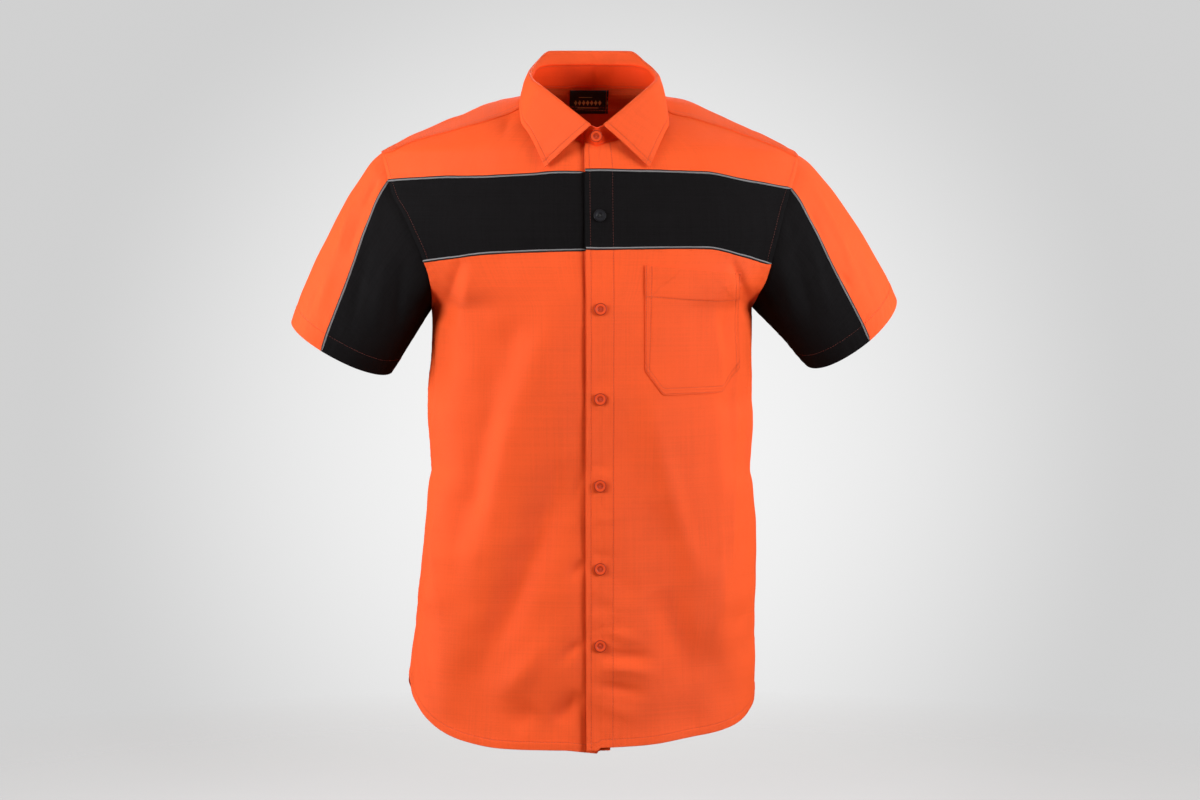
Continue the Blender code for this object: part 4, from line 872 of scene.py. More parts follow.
def placket_lift(side, form):
    """The left front's edge stands off between buttons; the right front dips beside it."""
    x, z = form[..., 0], form[..., 2]
    low = fade((-0.640 - z) / 0.060)
    number = np.interp(z, FRONT_BUTTON_HEIGHTS[::-1], np.arange(6)[::-1])
    gape = 0.45 + 0.75 * np.sin(math.pi * number) ** 2
    if side > 0:
        return (0.0002 + 0.0006 * gape + 0.0008 * low) * fade((0.000 - x) / 0.013)
    beside = np.where(x < -0.0140, 0.0015 + 0.0011 * gape + 0.0026 * low, 0.0300)
    hollow = np.exp(-((x + 0.0140) / beside) ** 2)
    return -(0.0007 + 0.0006 * gape + 0.0016 * low) * hollow * fade((-0.052 - z) / 0.030)


def lay_front(part, side, chains, seams, spots, across, up, finish, slot):
    """A piece of a front, lapped near the middle. Chains are bottom, top, inner and outer."""
    grid = coons(*chains, across, up)
    form, normal = on_form(grid)
    lift = lap(side, form[..., 0]) + placket_lift(side, form)
    bottom, top, end = seams
    edges = {"bottom": bottom, "top": top, "start": PLACKET if side > 0 else UNDER_PLACKET,
             "end": end}
    points = clothed(form, normal, lift, spots, across, up, edges, side * 1.3 + 5)
    lay_cloth("front_%s_%s" % (side_name(side), part), points, body_weave(grid), finish, slot,
              edges)


def seam_across_front(side, edge, count=160):
    """The band's top or bottom seam as a chart chain, from front edge to armhole."""
    end = armhole(band_turn(side, edge), side)[0][0]
    x = np.linspace(front_edge_x(side), end, count)
    return front_chart(x, band_z(x, edge, side))


def front_edge_x(side):
    return OVER_EDGE if side > 0 else UNDER_EDGE


def turn_where(side, seam_z, turn):
    """Armhole turn at which a seam, given as its height over x, arrives."""
    for _ in range(30):
        turn = float(armhole_turn(seam_z(armhole(turn, side)[0][0]), side))
    return turn


def band_turn(side, edge):
    return turn_where(side, lambda x: band_z(x, edge, side), 90.0)


def yoke_end_turn(side):
    return turn_where(side, lambda x: yoke_seam[side_name(side)](abs(x)), 15.0)


def yoke_seam_points(side, count=90):
    """Front seam of the yoke in front view, from the neck to the armhole."""
    corner = neck(YOKE_CORNER, side)
    end = armhole(yoke_end_turn(side), side)[0]
    rows = [(abs(corner[0]), corner[2])]
    rows += [(row.x, getattr(row, side_name(side))) for row in YOKE_SEAM
             if abs(corner[0]) < row.x < abs(end[0]) - 0.004]
    rows += [(abs(end[0]), end[2])]
    x = np.linspace(rows[0][0], rows[-1][0], count)
    return side * x, smooth_curve([row[0] for row in rows], [row[1] for row in rows])(x)


def arm_chain(side, first_turn, last_turn, shares):
    """Armhole seam between two turns as angle and height."""
    _, angle, z = armhole(first_turn + (last_turn - first_turn) * shares, side)
    return np.stack([angle, z], -1)


def end_station(side):
    """Station at which the neck seam reaches a front's edge."""
    beyond = np.linspace(1, 1.15, 200)
    return float(np.interp(-side * front_edge_x(side), -side * neck(beyond, side)[:, 0], beyond))


def make_upper_front(side, finish):
    across = shares_of(0.255, PLACKET_STEPS, FINE, marks=(CORNER_SHARE,))
    up = shares_of(0.066, CLOSE, CLOSE, pitch=0.0030)
    ring = neck(np.linspace(end_station(side), YOKE_CORNER, 120), side)
    top = along_parts([(front_chart(ring[:, 0], ring[:, 2]), CORNER_SHARE),
                       (front_chart(*yoke_seam_points(side)), 1.0)], across)
    bottom = along_chain(seam_across_front(side, "top"), across)
    outer = arm_chain(side, band_turn(side, "top"), yoke_end_turn(side), up)
    inner = bottom[0] + (top[0] - bottom[0]) * up[:, None]
    lay_front("upper", side, (bottom, top, inner, outer), (PIPED_SEAM, PLAIN_SEAM, ARMHOLE_SEAM),
              [("top", 0.0, CORNER_SHARE), ("end", 0.0, 1.0)], across, up, finish, "orange_cloth")


def make_band(side, finish):
    across = shares_of(0.250, PLACKET_STEPS, CLOSE)
    up = shares_of(0.086, CLOSE, CLOSE)
    bottom, top = (along_chain(seam_across_front(side, edge), across)
                   for edge in ("bottom", "top"))
    outer = arm_chain(side, band_turn(side, "bottom"), band_turn(side, "top"), up)
    inner = bottom[0] + (top[0] - bottom[0]) * up[:, None]
    lay_front("band", side, (bottom, top, inner, outer), (PIPED_SEAM, PIPED_SEAM, ARMHOLE_SEAM),
              [("end", 0.0, 1.0)], across, up, finish, "black_cloth")


def hem_chain(first_angle, last_angle, count=240):
    angle = np.linspace(first_angle, last_angle, count)
    return np.stack([angle, hem_z((angle + 180) % 360 - 180)], -1)


def flank_chain(side, hem_end, top_z, shares, behind=False):
    """Side seam, then armhole, at even heights, as angle and height."""
    z = hem_end + shares * (top_z - hem_end)
    turn = armhole_turn(np.maximum(z, ARMPIT_Z[side]), side)
    _, angle, arm_z = armhole(-turn if behind else turn, side)
    below = z < ARMPIT_Z[side]
    return np.stack([np.where(below, side * 90.0, angle), np.where(below, z, arm_z)], -1)


def make_lower_front(side, finish):
    across = shares_of(0.250, PLACKET_STEPS, FINE)
    up = shares_of(0.500, CLOSE, CLOSE)
    hem = hem_chain(float(girth_angle(front_edge_x(side), float(hem_z(0.0)))), side * 90)
    if side < 0:
        under = form_point(hem[:, 0], hem[:, 1])[:, 0]
        hem[:, 1] -= UNDER_HEM_DROP * fade((under + LAP_FADE) / LAP_FADE)
    bottom = along_chain(hem, across)
    top = along_chain(seam_across_front(side, "bottom"), across)
    top_z = float(armhole(band_turn(side, "bottom"), side)[0][2])
    outer = flank_chain(side, float(hem_z(side * 90.0)), top_z, up)
    inner = front_chart(np.full(len(up), front_edge_x(side)),
                        bottom[0, 1] + up * (top[0, 1] - bottom[0, 1]))
    pit = (ARMPIT_Z[side] - outer[0, 1]) / (outer[-1, 1] - outer[0, 1])
    lay_front("lower", side, (bottom, top, inner, outer), (HEM_SEAM, PIPED_SEAM, SIDE_SEAM),
              [("end", pit, 1.0)], across, up, finish, "orange_cloth")


def make_back(finish):
    across = shares_of(0.520, FINE, FINE)
    up = shares_of(0.560, CLOSE, CLOSE)
    ends = {side: flank_chain(side, float(hem_z(side * 90.0)), YOKE_BACK_Z, up, behind=True)
            for side in (-1, 1)}
    for end in ends.values():
        end[:, 0] %= 360
    top_angle = np.linspace(ends[1][-1, 0], ends[-1][-1, 0], 200)
    top = along_chain(np.stack([top_angle, np.full(200, YOKE_BACK_Z)], -1), across)
    bottom = along_chain(hem_chain(90, 270), across)
    grid = coons(bottom, top, ends[1], ends[-1], across, up)
    form, normal = on_form(grid)
    pit = (ARMPIT_Z[1] - ends[1][0, 1]) / (YOKE_BACK_Z - ends[1][0, 1])
    edges = {"bottom": HEM_SEAM, "top": PLAIN_SEAM, "start": SIDE_SEAM, "end": SIDE_SEAM}
    points = clothed(form, normal, 0.0, [("start", pit, 1.0), ("end", pit, 1.0)], across, up,
                     edges, 3.1)
    lay_cloth("back", points, body_weave(grid), finish, "orange_cloth", edges)


def over_shoulder(points):
    """Points of the form as distance from the middle and tilt."""
    return np.stack([points[:, 0], tilt_of(points)], -1)


def make_yoke(finish):
    """Yoke: one piece over both shoulders, with its front edge round the back of the neck."""
    up = shares_of(0.125, CLOSE, CLOSE)
    parts, ends = [], {}
    for side in (-1, 1):
        x, z = yoke_seam_points(side)
        seam = over_shoulder(form_point(girth_angle(x, z), z))
        ring = over_shoulder(neck(np.linspace(YOKE_CORNER, 0, 120), side))
        parts += [seam[::-1], ring] if side < 0 else [ring[::-1], seam]
        turn = -armhole_turn(YOKE_BACK_Z, side)
        ends[side] = over_shoulder(armhole(turn + (yoke_end_turn(side) - turn) * up, side)[0])
    lengths = [way_of(part * TILT_LENGTH)[-1] for part in parts]
    stops = np.cumsum(lengths) / sum(lengths)
    across = shares_of(0.56, CLOSE, CLOSE, marks=stops[:-1])
    stops[-1] = 1.0
    top = along_parts(zip(parts, stops), across, TILT_LENGTH)
    bottom_x = ends[-1][0, 0] + across * (ends[1][0, 0] - ends[-1][0, 0])
    level = np.full(bottom_x.shape, YOKE_BACK_Z)
    bottom = over_shoulder(form_point(180 - girth_angle(bottom_x, level), level))
    grid = coons(bottom, top, ends[-1], ends[1], across, up)
    form, normal = on_shoulders(grid[..., 0], grid[..., 1])
    edges = {"bottom": YOKE_SEWN, "top": YOKE_SEWN, "start": ARMHOLE_SEAM, "end": ARMHOLE_SEAM}
    points = clothed(form, normal, 0.0,
                     [("start", 0, 1), ("end", 0, 1), ("top", stops[0], stops[2])], across, up,
                     edges, 7.7)
    weave = np.stack([grid[..., 0], grid[..., 1] * TILT_LENGTH[1]], -1)
    lay_cloth("yoke", points, weave, finish, "orange_cloth", edges)


def seam_turn(side, along):
    """Turn of the piped seam, which starts where the band's top seam ends."""
    return band_turn(side, "top") + sleeve_seam[side_name(side)](along)


SLEEVE_FACING_FADE = 0.03
SLEEVE_WAVES = 0.5       # height of a sleeve's waves over the body's, read at a shifted place
SLEEVE_WAVE_SHIFT = np.array([0.3, 0.1, 0.2])
SLEEVE_CALM = 0.014      # distance from the sleeve head over which creases fade in


def make_sleeve(side, finishes):
    """Sleeve in two pieces: black in front, orange over the top and behind."""
    up = shares_of(SLEEVE_LENGTH, CLOSE, CUFF_STEPS, pitch=0.003)
    along = up[:, None]
    seam = seam_turn(side, along)
    for piece, length, colour in (("front", 0.17, "black_cloth"), ("top", 0.46, "orange_cloth")):
        across = shares_of(length, FINE, FINE, pitch=0.003)
        start, end = (seam, UNDERARM) if piece == "front" else (-UNDERARM, seam)
        turn = start + (end - start) * across[None]
        points, normal = sleeve(side, turn, along)
        far = ways(points)
        drape = crease_height(SLEEVE_CREASES, points[..., 0], points[..., 2],
                              lambda row: fade(0.5 + row.side * (points[..., 1] + 0.004)
                                               / SLEEVE_FACING_FADE))
        waves = SLEEVE_WAVES * body_relief(points + SLEEVE_WAVE_SHIFT)
        calmed = fade(far["bottom"] / SLEEVE_CALM)
        points = points + normal * ((drape + waves) * calmed)[..., None]
        piped, plain = ("start", "end") if piece == "front" else ("end", "start")
        edges = {"bottom": SLEEVE_HEAD, "top": CUFF_SEAM, piped: PIPED_SEAM, plain: SIDE_SEAM}
        points = sewn(points, normal, edges, side * 2.3 + len(piece))
        weave = np.stack([np.radians(turn) * SLEEVE_RADIUS,
                          along * SLEEVE_LENGTH + 0 * turn], -1)
        lay_cloth("sleeve_%s_%s" % (side_name(side), piece), points, weave, finishes[colour],
                  colour, edges)


# ---------------------------------------------------------------- collar

def collar_outward(station, side):
    """Level direction out of the neck."""
    ahead = neck(np.asarray(station) + 0.01, side) - neck(np.asarray(station) - 0.01, side)
    return unit(np.stack([-ahead[..., 1], ahead[..., 0], 0 * ahead[..., 0]], -1)) * side


def stand_point(station, side, share, out=0.0):
    base = neck(station, side)
    x, folded = past_middle(stand_curve, station, side)
    top = np.stack([x, stand_curve["y"](folded), stand_curve["z"](folded)], -1)
    point = base + (top - base) * np.asarray(share)[..., None]
    away = collar_outward(station, side)
    return point + away * (out + lap(side, point[..., 0]))[..., None]


def lay_collar(name, make, ends, edges, seed, finish, *how):
    """Cloth from make(stations, side), from the right end round the back to the left end."""
    halves = [make(shares_of(0.235, last=CLOSE) * ends[side], side) for side in (-1, 1)]
    points = np.concatenate([halves[0][:, ::-1], halves[1][:, 1:]], 1)
    points = sewn(points, net_normals(points), edges, seed)
    far = ways(points)
    lay_cloth(name, points, np.stack([far["start"], far["bottom"]], -1), finish, "orange_cloth",
              edges, *how)


def make_stand(finish):
    ends = {side: end_station(side) for side in (-1, 1)}
    rows = shares_of(0.032, FINE, FINE, pitch=0.0028)

    def half(stations, side):
        to_end = np.linalg.norm(neck(np.array([ends[side]]), side) - neck(stations, side), axis=-1)
        corner = 1 - np.minimum(to_end / STAND_END_ROUND, 1)
        height = 1 - STAND_END_DROP * (1 - np.sqrt(1 - corner * corner))
        share = rows[:, None] * height[None]
        stations = stations[None] + 0 * share
        return stand_point(stations, side, share)

    lay_collar("collar_stand", half, ends,
               {edge: STAND_EDGE for edge in ("bottom", "top", "start", "end")}, 1.1, finish,
               STAND_WALL)


def flowing(points, shares):
    """A smooth curve through rows of points, at shares of its way. Points run along axis 0."""
    step = np.linalg.norm(np.diff(points, axis=0), axis=-1).mean(-1) ** 0.75
    knots = np.concatenate([[0], np.cumsum(step)])
    slope = np.gradient(points, knots, axis=0)
    dense = [hermite(t, knots[k + 1] - knots[k], points[k], points[k + 1], slope[k], slope[k + 1])
             for k in range(len(points) - 1)
             for t in np.linspace(0, 1, 13)[: 13 if k == len(points) - 2 else -1]]
    dense = np.array(dense)
    way = np.concatenate([[0], np.cumsum(np.linalg.norm(np.diff(dense, axis=0), axis=-1).mean(-1))])
    flat = dense.reshape(len(dense), -1)
    rows = np.array([np.interp(shares, way / way[-1], column) for column in flat.T])
    return rows.T.reshape((len(shares),) + points.shape[1:])


def leaf_sections(stations, side):
    """Points across the leaf: up from the stand, over the roll and down to the edge."""
    top = stand_point(stations, side, np.ones(len(stations)))
    name = side_name(side)
    roll = np.stack([side * leaf_curve[name](stations), leaf_curve["y"](stations),
                     leaf_curve["z"](stations)], -1)
    edge = shoulder(side * leaf_curve["edge_" + name](stations), leaf_curve["edge_tilt"](stations),
                    leaf_curve["lift"](stations))
    away = collar_outward(stations, side)
    up = np.array([0, 0, 1.0])
    start = stand_point(stations, side, np.full(len(stations), 0.93))
    over = roll + away * LEAF_FOLD - up * LEAF_FOLD
    inside = roll - away * LEAF_FOLD * 0.6 - up * LEAF_FOLD
    points = [start, top + (inside - top) * 0.25, top + (inside - top) * 0.65, inside, roll, over]
    for share in (0.25, 0.5, 0.75, 1.0):
        bow = LEAF_BOW * math.sin(math.pi * share) ** 0.8
        points.append(over + (edge - over) * share + away * bow)
    return np.array(points)


def make_leaf(finish):
    rows = shares_of(0.070, FINE, CLOSE, pitch=0.0024)
    lay_collar("collar_leaf", lambda stations, side: flowing(leaf_sections(stations, side), rows),
               {side: LEAF[-1].station for side in (-1, 1)},
               {edge: LEAF_EDGE for edge in ("top", "start", "end")}, 2.6, finish,
               LEAF_WALL, "folded", ["collar_stand"])


# ---------------------------------------------------------------- what is sewn on

ON_TOP = WALL / 2 + TRIM_WALL / 2 + 0.0001


def front_cloth(side, x, z, out):
    """Points and normals of a front's cloth in front view, moved out."""
    form, normal = on_form(front_chart(x, z))
    height = fold_height(form) + body_relief(form) + lap(side, form[..., 0]) + out
    return form + normal * height[..., None], normal


def make_pocket(finish):
    """Patch pocket with its hemmed top and its cut corners."""
    across = shares_of(POCKET_OUTER - POCKET_INNER, CLOSE, CLOSE, pitch=0.0030)
    up = shares_of(0.138, CLOSE, (0.0, 0.0007, 0.0018, 0.004, 0.008, 0.013, 0.018, 0.023, 0.028,
                                  0.0315, 0.0332, 0.0340, 0.0349, 0.0365, 0.039), pitch=0.0030)
    x = POCKET_INNER + across * (POCKET_OUTER - POCKET_INNER)
    cut_x, cut_z = POCKET_CHAMFER
    to_side = np.minimum(x - POCKET_INNER, POCKET_OUTER - x)
    low = POCKET_BOTTOM + cut_z * np.maximum(0, 1 - to_side / cut_x)
    high = POCKET_TOP[0] + (POCKET_TOP[1] - POCKET_TOP[0]) * across
    z = low[None] + (high - low)[None] * up[:, None]
    points, normal = front_cloth(1, x[None] + 0 * z, z, ON_TOP)
    edges = {"bottom": POCKET_EDGE, "top": POCKET_HEM, "start": POCKET_EDGE, "end": POCKET_EDGE}
    points = sewn(points, normal, edges, 4.2)
    weave = np.stack([x[None] + 0 * z + 0.0011, z], -1)
    lay_cloth("pocket", points, weave, finish, "orange_cloth", edges, TRIM_WALL, "laid",
              ["front_left_lower"])


def make_label(name, x_range, z_range, finish):
    """A label inside the back of the neck."""
    x = np.linspace(*x_range, max(int((x_range[1] - x_range[0]) / 0.001), 3))
    z = np.linspace(*z_range, 24)
    x, z = np.meshgrid(x, z)
    form, normal = on_form(np.stack([180 - girth_angle(x, z), z], -1))
    points = form - normal * (ON_TOP + LABEL_WALL)
    across = (x - x_range[0]) / (x_range[1] - x_range[0])
    up = (z - z_range[0]) / (z_range[1] - z_range[0])
    lay_cloth(name, points, np.stack([across, up], -1), finish, "label_weave", None,
              LABEL_WALL, "laid", ["yoke"])


PIPING_RADIUS = 0.00155
PIPING_FLAT = 0.75       # its height over its width
PIPING_TIP = 0.35        # share of its radius at its far end
PIPING_TAPER = 0.006     # length over which it thins
PIPING_SIDES = 12
PIPING_PITCH = 0.0025    # from one of its rings to the next


def tube_mesh(name, path, normals, radius, toward):
    """A cord laid along a path, with closed ends; its turn starts facing `toward`."""
    tangent = unit(np.gradient(path, axis=0))
    across = unit(np.cross(tangent, normals))
    across = across * np.sign(np.sum(across * (toward - path), -1, keepdims=True))
    out = unit(np.cross(across, tangent))
    out = out * np.sign(np.sum(out * normals, -1, keepdims=True))
    turn = np.linspace(0, 2 * math.pi, PIPING_SIDES + 1)[:, None, None]
    ring = path[None] + radius[None, :, None] * (np.cos(turn) * across[None]
                                                 + np.sin(turn) * out[None] * PIPING_FLAT)
    way = way_of(path)
    uv = np.stack(np.broadcast_arrays(way[None], np.cos(turn[..., 0])), -1)
    mesh = cloth_mesh(name, ring, {"weave": uv})
    cells = bmesh.new()
    cells.from_mesh(mesh)
    bmesh.ops.remove_doubles(cells, verts=cells.verts, dist=1e-6)
    bmesh.ops.holes_fill(cells, edges=[edge for edge in cells.edges if edge.is_boundary], sides=0)
    bmesh.ops.recalc_face_normals(cells, faces=cells.faces)
    cells.to_mesh(mesh)
    cells.free()
    return mesh


def even_path(points, normals, pitch):
    """A path's points and normals at even steps."""
    way = way_of(points)
    wanted = np.linspace(0, way[-1], max(int(round(way[-1] / pitch)), 2) + 1)
    both = np.concatenate([points, normals], 1)
    both = np.array([np.interp(wanted, way, both[:, k]) for k in range(6)]).T
    return both[:, :3], unit(both[:, 3:])


def lay_piping(name, first, second, finish, keep=None):
    """Piping in the seam between two laid-out edges, each (panel, edge), the black first."""
    (points, normals), (other, other_normals) = (nets[panel].line(edge, 0.0)
                                                 for panel, edge in (first, second))
    dark_side = nets[first[0]].line(first[1], 0.006)[0]
    nearest = np.argmin(np.linalg.norm(points[:, None] - other[None], axis=-1), 1)
    normals = unit(normals + other_normals[nearest])
    points = (points + other[nearest]) / 2
    if keep is not None:
        inside = keep(points)
        points, normals = points[inside], normals[inside]
    points, normals = even_path(points + normals * (WALL / 2 - 0.0001), normals, PIPING_PITCH)
    toward = dark_side[np.argmin(np.linalg.norm(points[:, None] - dark_side[None], axis=-1), 1)]
    way = np.linspace(0, len(points) * PIPING_PITCH, len(points))
    taper = PIPING_TIP + (1 - PIPING_TIP) * (way[-1] - way) / PIPING_TAPER
    radius = PIPING_RADIUS * np.clip(taper, PIPING_TIP, 1.0)
    radius = radius * (1 + 0.05 * np.sin(way / 0.0093) + 0.03 * np.sin(way / 0.0041))
    add_piece(name + "_cord", tube_mesh(name, points, normals, radius, toward), finish, "piping",
              name)


# ---------------------------------------------------------------- buttons

def button_mesh(name, place, normal, turn):
    """A four-hole button: a dished face in a rounded rim, with the holes sunk in."""
    cells = bmesh.new()
    face_radius = BUTTON_RADIUS - BUTTON_RIM
    bmesh.ops.create_grid(cells, x_segments=5, y_segments=5, size=0.0026)
    squares = [face for face in cells.faces if all(
        abs(abs(value) - BUTTON_EYE) < 0.0003 for value in face.calc_center_median()[:2])]
    bmesh.ops.inset_individual(cells, faces=squares, thickness=0.00006)
    for face in squares:
        bmesh.ops.translate(cells, verts=face.verts, vec=(0, 0, -BUTTON_EYE_DEPTH))
    rings = ((0.0031, 0.00005), (0.0036, 0.00045), (0.0050, 0.00062), (face_radius, 0.00058),
             (face_radius + 0.0003, 0.00050), (face_radius + 0.0006, 0.00066),
             (BUTTON_RADIUS - 0.0002, 0.00045), (BUTTON_RADIUS, -0.0001),
             (BUTTON_RADIUS * 0.97, -0.0009), (BUTTON_RADIUS * 0.80, 0.0007 - BUTTON_THICK))
    for radius, height in rings:
        rim = [edge for edge in cells.edges if edge.is_boundary]
        made = bmesh.ops.extrude_edge_only(cells, edges=rim)["geom"]
        for vert in (item for item in made if isinstance(item, bmesh.types.BMVert)):
            way = Vector((vert.co.x, vert.co.y, 0)).normalized()
            vert.co = way * radius + Vector((0, 0, height))
    bmesh.ops.holes_fill(cells, edges=[edge for edge in cells.edges if edge.is_boundary], sides=0)
    bmesh.ops.recalc_face_normals(cells, faces=cells.faces)
    flat = cells.loops.layers.uv.new("face")
    for face in cells.faces:
        for loop in face.loops:
            loop[flat].uv = loop.vert.co.xy
    spin = Matrix.Rotation(math.radians(turn), 4, "Z")
    stand = normal.to_track_quat("Z", "Y").to_matrix().to_4x4()
    lift = Matrix.Translation(place + normal * (BUTTON_THICK / 2 + WALL / 2 + 0.0004))
    bmesh.ops.transform(cells, matrix=lift @ stand @ spin, verts=cells.verts)
    return as_mesh(name, cells)


def button_place(panel, x, z):
    """Point of a panel's cloth and its outward direction, in front view."""
    net = nets[panel]
    flat = np.hypot(net.points[..., 0] - x, net.points[..., 2] - z) + (net.normals[..., 1] > 0)
    row, column = np.unravel_index(np.argmin(flat), flat.shape)
    around = net.normals[max(row - 2, 0):row + 3, max(column - 2, 0):column + 3].reshape(-1, 3)
    normal = Vector(unit(around.mean(0)))
    near = net.points[row, column]
    y = near[1] - ((x - near[0]) * normal.x + (z - near[2]) * normal.z) / normal.y
    return Vector((x, y, z)), normal


def make_button(name, panel, x, z, turn, finish, slot, thread, thread_slot):
    place, normal = button_place(panel, x, z)
    piece = add_piece(name + "_moulded", button_mesh(name, place, normal, turn), finish, slot, name)
    smooth = piece.modifiers.new("round", "SUBSURF")
    smooth.levels = smooth.render_levels = 2
    threads = Threads(BUTTON_THREAD)
    side = normal.to_track_quat("Z", "Y").to_matrix() @ Matrix.Rotation(math.radians(turn), 3, "Z")
    top = place + normal * (BUTTON_THICK / 2 + WALL / 2 + 0.0010)
    for way in ((1, 1), (1, -1)):
        run = side @ Vector((way[0], way[1], 0)).normalized()
        for shift in (-BUTTON_THREAD_SHIFT, BUTTON_THREAD_SHIFT):
            threads.add(top + normal.cross(run) * shift, run, normal, BUTTON_THREAD_LENGTH)
    threads.finish(name + "_thread", thread, thread_slot)


# ---------------------------------------------------------------- stitching

THREAD_HEIGHT = 0.42     # half a bead's height over its width


class Threads:
    """Gathers stitches, each a long bead of thread, into one piece."""

    def __init__(self, width):
        self.cells, self.width = bmesh.new(), width

    def add(self, place, run, out, length):
        run = Vector(run).normalized()
        across = Vector(out).cross(run).normalized()
        out = run.cross(across)
        turn = Matrix((run, across, out)).transposed().to_4x4()
        size = Matrix.Diagonal((length / 2, self.width / 2, self.width * THREAD_HEIGHT, 1))
        bmesh.ops.create_icosphere(self.cells, subdivisions=1, radius=1.0,
                                   matrix=Matrix.Translation(place) @ turn @ size)

    def finish(self, name, finish, slot):
        add_piece(name, as_mesh(name, self.cells), finish, slot)


STITCH_PITCH = 0.0031
STITCH_GAP = 0.00775     # a longer step is a break in the line
STITCH_LENGTH = 0.0025
STITCH_RAISED = 0.00004  # its middle stands off the cloth
STITCH_WIDTH = 0.00050
FINE_STITCH = STITCH_WIDTH * 0.8      # on the black cloth


def sew(threads, panel, edge, inward, skip=None, inside_too=False):
    """Sews a line of stitches in a panel, at a distance in from one of its edges."""
    net = nets[panel]
    points, normals = net.line(edge, inward)
    if skip is not None:
        keep = ~skip(points)
        points, normals = points[keep], normals[keep]
    points, normals = even_path(points, normals, STITCH_PITCH)
    for place, after, normal in zip(points[:-1], points[1:], normals):
        run = after - place
        if np.linalg.norm(run) > STITCH_GAP:
            continue
        for face in (1, -1) if inside_too else (1,):
            middle = (place + after) / 2 + face * normal * (net.wall / 2 + STITCH_RAISED)
            threads.add(Vector(middle), run, normal, STITCH_LENGTH)


# ---------------------------------------------------------------- finishes

class Value:
    """A shader socket that adds a Math node for each sum it is used in."""

    def __init__(self, nodes, socket):
        self.nodes, self.socket = nodes, socket

    def sum(self, operation, *others):
        return self.nodes.node("ShaderNodeMath", {"operation": operation}, [self, *others])

    def __rsub__(self, other):
        return (self * -1.0) + other

    __add__ = __radd__ = partialmethod(sum, "ADD")
    __mul__ = __rmul__ = partialmethod(sum, "MULTIPLY")
    __sub__ = partialmethod(sum, "SUBTRACT")
    __truediv__ = partialmethod(sum, "DIVIDE")
    __gt__ = partialmethod(sum, "GREATER_THAN")
    __lt__ = partialmethod(sum, "LESS_THAN")
    __abs__ = partialmethod(sum, "ABSOLUTE")
    __pow__ = partialmethod(sum, "POWER")
    sine = partialmethod(sum, "SINE")
    part = partialmethod(sum, "FRACT")


class Nodes:
    """Adds nodes to a tree; each comes back as the Value of one of its outputs."""

    def __init__(self, tree):
        self.tree = tree

    def node(self, kind, settings=None, sockets=(), output=0):
        """Any node: its settings first, then its sockets' values or links."""
        node = self.tree.nodes.new(kind)
        for key, value in (settings or {}).items():
            setattr(node, key, value)
        pairs = sockets.items() if isinstance(sockets, dict) else enumerate(sockets)
        for key, value in pairs:
            if isinstance(value, Value):
                self.tree.links.new(value.socket, node.inputs[key])
            else:
                node.inputs[key].default_value = value
        return Value(self, node.outputs[output])

    def mix(self, factor, first, second):
        """Colour between two colours."""
        return self.node("ShaderNodeMix", {"data_type": "RGBA", "clamp_factor": True},
                         {0: factor, 6: first, 7: second}, output=2)

    def noise(self, vector, scale, detail=2.0, rough=0.5, stretch=None):
        if stretch:
            vector = self.node("ShaderNodeMapping", {}, {0: vector, 3: (*stretch, 1.0)})
        return self.node("ShaderNodeTexNoise", {}, {"Vector": vector, "Scale": scale,
                                                    "Detail": detail, "Roughness": rough})

    def clamp(self, value):
        return self.node("ShaderNodeClamp", {}, [value])

    def length(self, vector):
        return self.node("ShaderNodeVectorMath", {"operation": "LENGTH"}, [vector], output=1)

    def uv(self, layer):
        """A UV map and its two coordinates."""
        place = self.node("ShaderNodeUVMap", {"uv_map": layer})
        across = self.node("ShaderNodeSeparateXYZ", {}, [place])
        return place, across, Value(self, across.socket.node.outputs[1])

    def whole(self):
        """The object's own coordinates."""
        return self.node("ShaderNodeTexCoord", {}, [], output=3)


class Finish(Nodes):
    """One material and the nodes it is made of."""

    def __init__(self, name, roughness, **numbers):
        self.material = bpy.data.materials.new(name)
        self.material.use_nodes = True
        super().__init__(self.material.node_tree)
        self.shader = self.tree.nodes["Principled BSDF"]
        for socket, number in dict(numbers, Roughness=roughness).items():
            self.shader.inputs[socket.replace("_", " ")].default_value = number

    def bump(self, height, distance, strength=1.0, under=None):
        sockets = {"Height": height, "Distance": distance, "Strength": strength}
        if under is not None:
            sockets["Normal"] = under
        return self.node("ShaderNodeBump", {}, sockets)

    def show(self, **sockets):
        """Links what is given to the shader's sockets; gives the finished material."""
        for socket, value in sockets.items():
            self.tree.links.new(value.socket, self.shader.inputs[socket.replace("_", " ")])
        return self.material


def tone(colour, factor):
    return tuple(min(value * factor, 1.0) for value in colour[:3]) + (1.0,)


TWILL_PITCH = 0.00075    # from one diagonal rib to the next
TWILL_SLOPE = 1.35       # how steeply the ribs run


